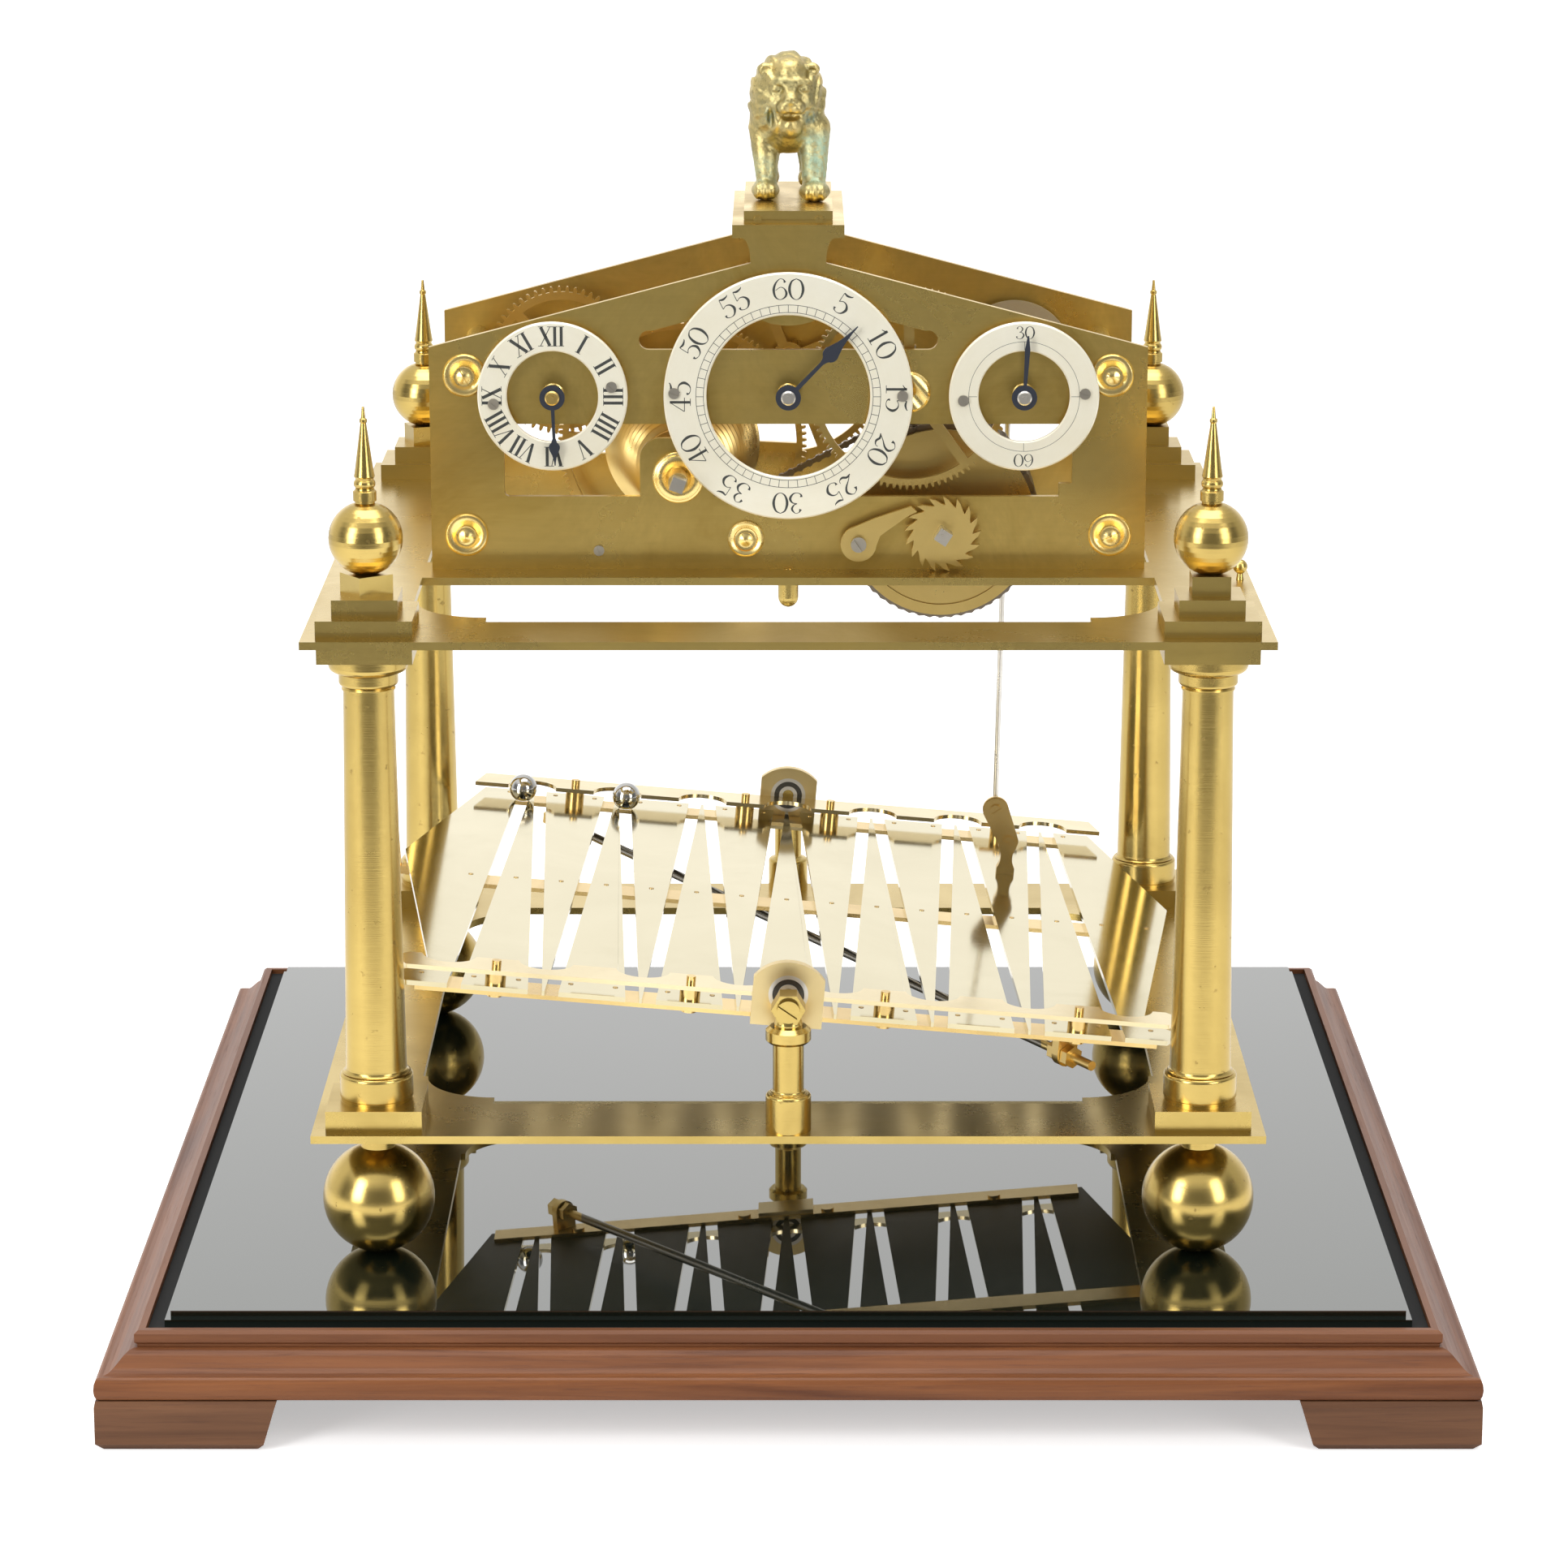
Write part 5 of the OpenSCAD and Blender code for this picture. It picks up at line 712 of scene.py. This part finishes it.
def net_surface(field, low, high, step):
    """Surface net of a field's zero set: each grid cell that the surface crosses gets one point
    at the mean of its edges' crossings, and each crossed edge joins the points round it."""
    axes = [np.arange(a, b + step, step, dtype=np.float32) for a, b in zip(low, high)]
    grid = np.stack(np.meshgrid(*axes, indexing="ij"), -1)
    value = field(grid)
    inside = value < 0
    n = np.array(value.shape)
    total = np.zeros(tuple(n - 1) + (3,), np.float32)
    count = np.zeros(tuple(n - 1), np.float32)
    cells = []
    for axis in range(3):
        v = np.moveaxis(value, axis, 0)
        i = np.moveaxis(inside, axis, 0)
        crossed = i[:-1] != i[1:]
        spread = v[:-1] / np.where(crossed, v[:-1] - v[1:], 1)
        crossed = np.moveaxis(crossed, 0, axis)
        spread = np.moveaxis(spread, 0, axis)
        where = np.argwhere(crossed)
        at = where.astype(np.float32)
        at[:, axis] += spread[crossed]
        b, c = (axis + 1) % 3, (axis + 2) % 3
        around = []
        for db, dc in ((0, 0), (-1, 0), (-1, -1), (0, -1)):
            cell = where.copy()
            cell[:, b] += db
            cell[:, c] += dc
            ok = np.all((cell >= 0) & (cell < n - 1), axis=1)
            np.add.at(total, tuple(cell[ok].T), at[ok])
            np.add.at(count, tuple(cell[ok].T), 1)
            around.append(cell)
        around = np.stack(around, 1)
        ok = np.all((around >= 0) & (around < n - 1), axis=(1, 2))
        flip = inside[tuple(where.T)]
        around = np.where(flip[:, None, None], around, around[:, ::-1])
        cells.append(around[ok])
    used = count > 0
    index = np.full(tuple(n - 1), -1)
    index[used] = np.arange(used.sum())
    points = total[used] / count[used][:, None] * step + np.array(low, np.float32)
    return points, [index[tuple(np.moveaxis(around, -1, 0))] for around in cells]


lion_verts, lion_faces = net_surface(lion_field, LION_LOW, LION_HIGH, LION_NET)
lion_verts[:, 2] = np.maximum(lion_verts[:, 2], LION_CLEAR)
lion = add_piece("lion_cast", lion_verts + [0, 0, LION_Z], lion_faces, "lion_bronze", smooth=True)
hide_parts("lion")


# ---------------------------------------------------------------- chain

LINK_PITCH, LINK_WIDTH, LINK_THICK = 4.4, 2.9, 0.7
LINK_RISE = 1.62           # from the barrel to the links' middle
LINKS_ROUND = 58           # links in one turn round the barrel
TURNS, TURN_PITCH = 10, 4.2
FIRST_TURN_Y = CHAIN_Y - 3.4
OUTER_Y = 0.95             # from a turn's middle to its outer plates


def link_plate():
    """Waisted plate of one link in its own plane: two round ends joined by a waist, with its
    rim points taken by angle round each end, and a thickness along the third axis."""
    a = np.linspace(math.pi / 2, 3 * math.pi / 2, 8)
    left = np.column_stack([LINK_WIDTH / 2 * np.cos(a), LINK_WIDTH / 2 * np.sin(a)])
    waist = np.array([[LINK_PITCH / 2, -LINK_WIDTH * 0.34]])
    rim = np.vstack([left, waist, [LINK_PITCH, 0] - left, [LINK_PITCH, 0] - waist])
    k = len(rim)
    layers = [np.column_stack([rim, np.full(k, h)]) for h in (-LINK_THICK / 2, LINK_THICK / 2)]
    middle = np.array([[LINK_PITCH / 2, 0, -LINK_THICK / 2], [LINK_PITCH / 2, 0, LINK_THICK / 2]])
    i = np.arange(k)
    j = (i + 1) % k
    side = np.stack([i, j, k + j, k + i], 1)
    caps = np.vstack([np.stack([j, i, np.full(k, 2 * k)], 1),
                      np.stack([k + i, k + j, np.full(k, 2 * k + 1)], 1)])
    return np.vstack([*layers, middle]), side, caps


def barrel_links():
    """Link plates laid round the barrel: by turns a link has one plate in the middle of the
    chain or a pair of outer ones; each plate's plane holds the radius and the tangent."""
    plate, side, caps = link_plate()
    verts, quads, tris = [], [], []
    for turn in range(TURNS):
        for k in range(LINKS_ROUND):
            a = 2 * math.pi * k / LINKS_ROUND
            tangent = np.array([-math.sin(a), 0, math.cos(a)])
            radial = np.array([math.cos(a), 0, math.sin(a)])
            for dy in ((0,) if k % 2 else (-OUTER_Y, OUTER_Y)):
                y = FIRST_TURN_Y - TURN_PITCH * turn + dy
                start = (np.array([BARREL_C[0], y, BARREL_C[1]])
                         + radial * (BARREL_R + LINK_RISE) - tangent * LINK_PITCH / 2)
                offset = len(verts) * len(plate)
                verts.append(start + plate[:, :1] * tangent + plate[:, 1:2] * radial
                             + plate[:, 2:] * [0, 1, 0])
                quads.append(side + offset)
                tris.append(caps + offset)
    return np.vstack(verts), [np.vstack(quads), np.vstack(tris)]


links = add_piece("barrel_links", *barrel_links(), "chain_steel", "barrel")
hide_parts("barrel_chain")


# ---------------------------------------------------------------- stage, light and camera

def area_light(name, place, target, width, height, power):
    """Soft light that stands at a place and points to a target."""
    data = bpy.data.lights.new(name, "AREA")
    data.shape = "RECTANGLE"
    data.size, data.size_y, data.energy = width, height, power
    obj = new_object(name, data)
    obj.location = place
    obj.rotation_euler = (Vector(target) - Vector(place)).to_track_quat("-Z", "Y").to_euler()


def floor_paint():
    """White paper: it glows a little for the camera alone, so that open floor comes out white."""
    material, n, shader, _ = new_material("floor_white")
    set_inputs(shader, Base_Color=(0.9, 0.9, 0.9, 1), Roughness=0.9)
    seen = n.add("ShaderNodeLightPath").outputs["Is Camera Ray"]
    glow = n.add("ShaderNodeEmission", inputs={
        "Color": (1, 1, 1, 1), "Strength": n.math("MULTIPLY", seen, 0.45)})
    both = n.add("ShaderNodeAddShader", inputs={0: shader.outputs[0], 1: glow.outputs[0]})
    out = material.node_tree.nodes["Material Output"]
    material.node_tree.links.new(both.outputs[0], out.inputs[0])
    return material


floor_corners = [(-4000, -1000, 0), (4000, -1000, 0), (4000, 7000, 0), (-4000, 7000, 0)]
mesh_object("floor", floor_corners, [[(0, 1, 2, 3)]], floor_paint())


def build_world():
    """White for the camera. In mirror images and as light it is bright behind the object and
    overhead, brightest low behind it, dim in front and dimmer towards the right."""
    world = bpy.data.worlds.new("room")
    bpy.context.scene.world = world
    world.use_nodes = True
    n = Nodes(world.node_tree)
    world.node_tree.nodes.clear()
    out = n.add("ShaderNodeOutputWorld")
    way = n.add("ShaderNodeTexCoord").outputs["Generated"]
    x, y, z = n.split(way)
    bright = n.math("MAXIMUM", n.ramp(y, -0.2, 0.15), n.ramp(z, 0.45, 0.7))
    low = n.math("MULTIPLY", n.ramp(y, 0.35, 0.75), n.ramp(z, 0.5, 0.25))
    level = n.math("MULTIPLY_ADD", bright, 0.75, n.math("MULTIPLY_ADD", low, 0.4, 0.22))
    fall = n.math("MULTIPLY_ADD", n.ramp(x, 0.0, 0.8), -0.35, 1.0)
    level = n.math("MULTIPLY", level, fall)
    seen = n.add("ShaderNodeLightPath").outputs["Is Camera Ray"]
    strength = n.add("ShaderNodeMix", data_type="FLOAT", inputs={0: seen, 2: level, 3: 1.0})
    background = n.add("ShaderNodeBackground", inputs={
        "Color": (1, 1, 1, 1), "Strength": strength.outputs[0]})
    world.node_tree.links.new(background.outputs[0], out.inputs[0])


build_world()
area_light("soft_left", (-1.35, -1.5, 0.9), (0, 0, 0.3), 0.7, 1.5, 25)
area_light("soft_right", (1.35, -1.5, 0.9), (0, 0, 0.3), 0.7, 1.5, 16)
area_light("soft_top", (0, -0.1, 1.9), (0, 0, 0), 1.6, 1.2, 22)

# Camera solved from the photo, which is 1932 pixels wide
PHOTO_PX = 1932
FOCAL_PX = 6261.25
LOOK_DOWN = 0.24597
camera_data = bpy.data.cameras.new("camera")
camera = new_object("camera", camera_data)
camera_data.sensor_width = 36.0
camera_data.lens = FOCAL_PX / PHOTO_PX * camera_data.sensor_width
camera_data.shift_x = -0.0018
camera_data.clip_start, camera_data.clip_end = 0.05, 50.0
camera.location = (-0.0006, -2.1223, 0.7328)
camera.rotation_euler = (math.pi / 2 - LOOK_DOWN, 0.0, 0.0)
scene = bpy.context.scene
scene.camera = camera
scene.view_settings.view_transform = "Standard"
scene.view_settings.look = "None"
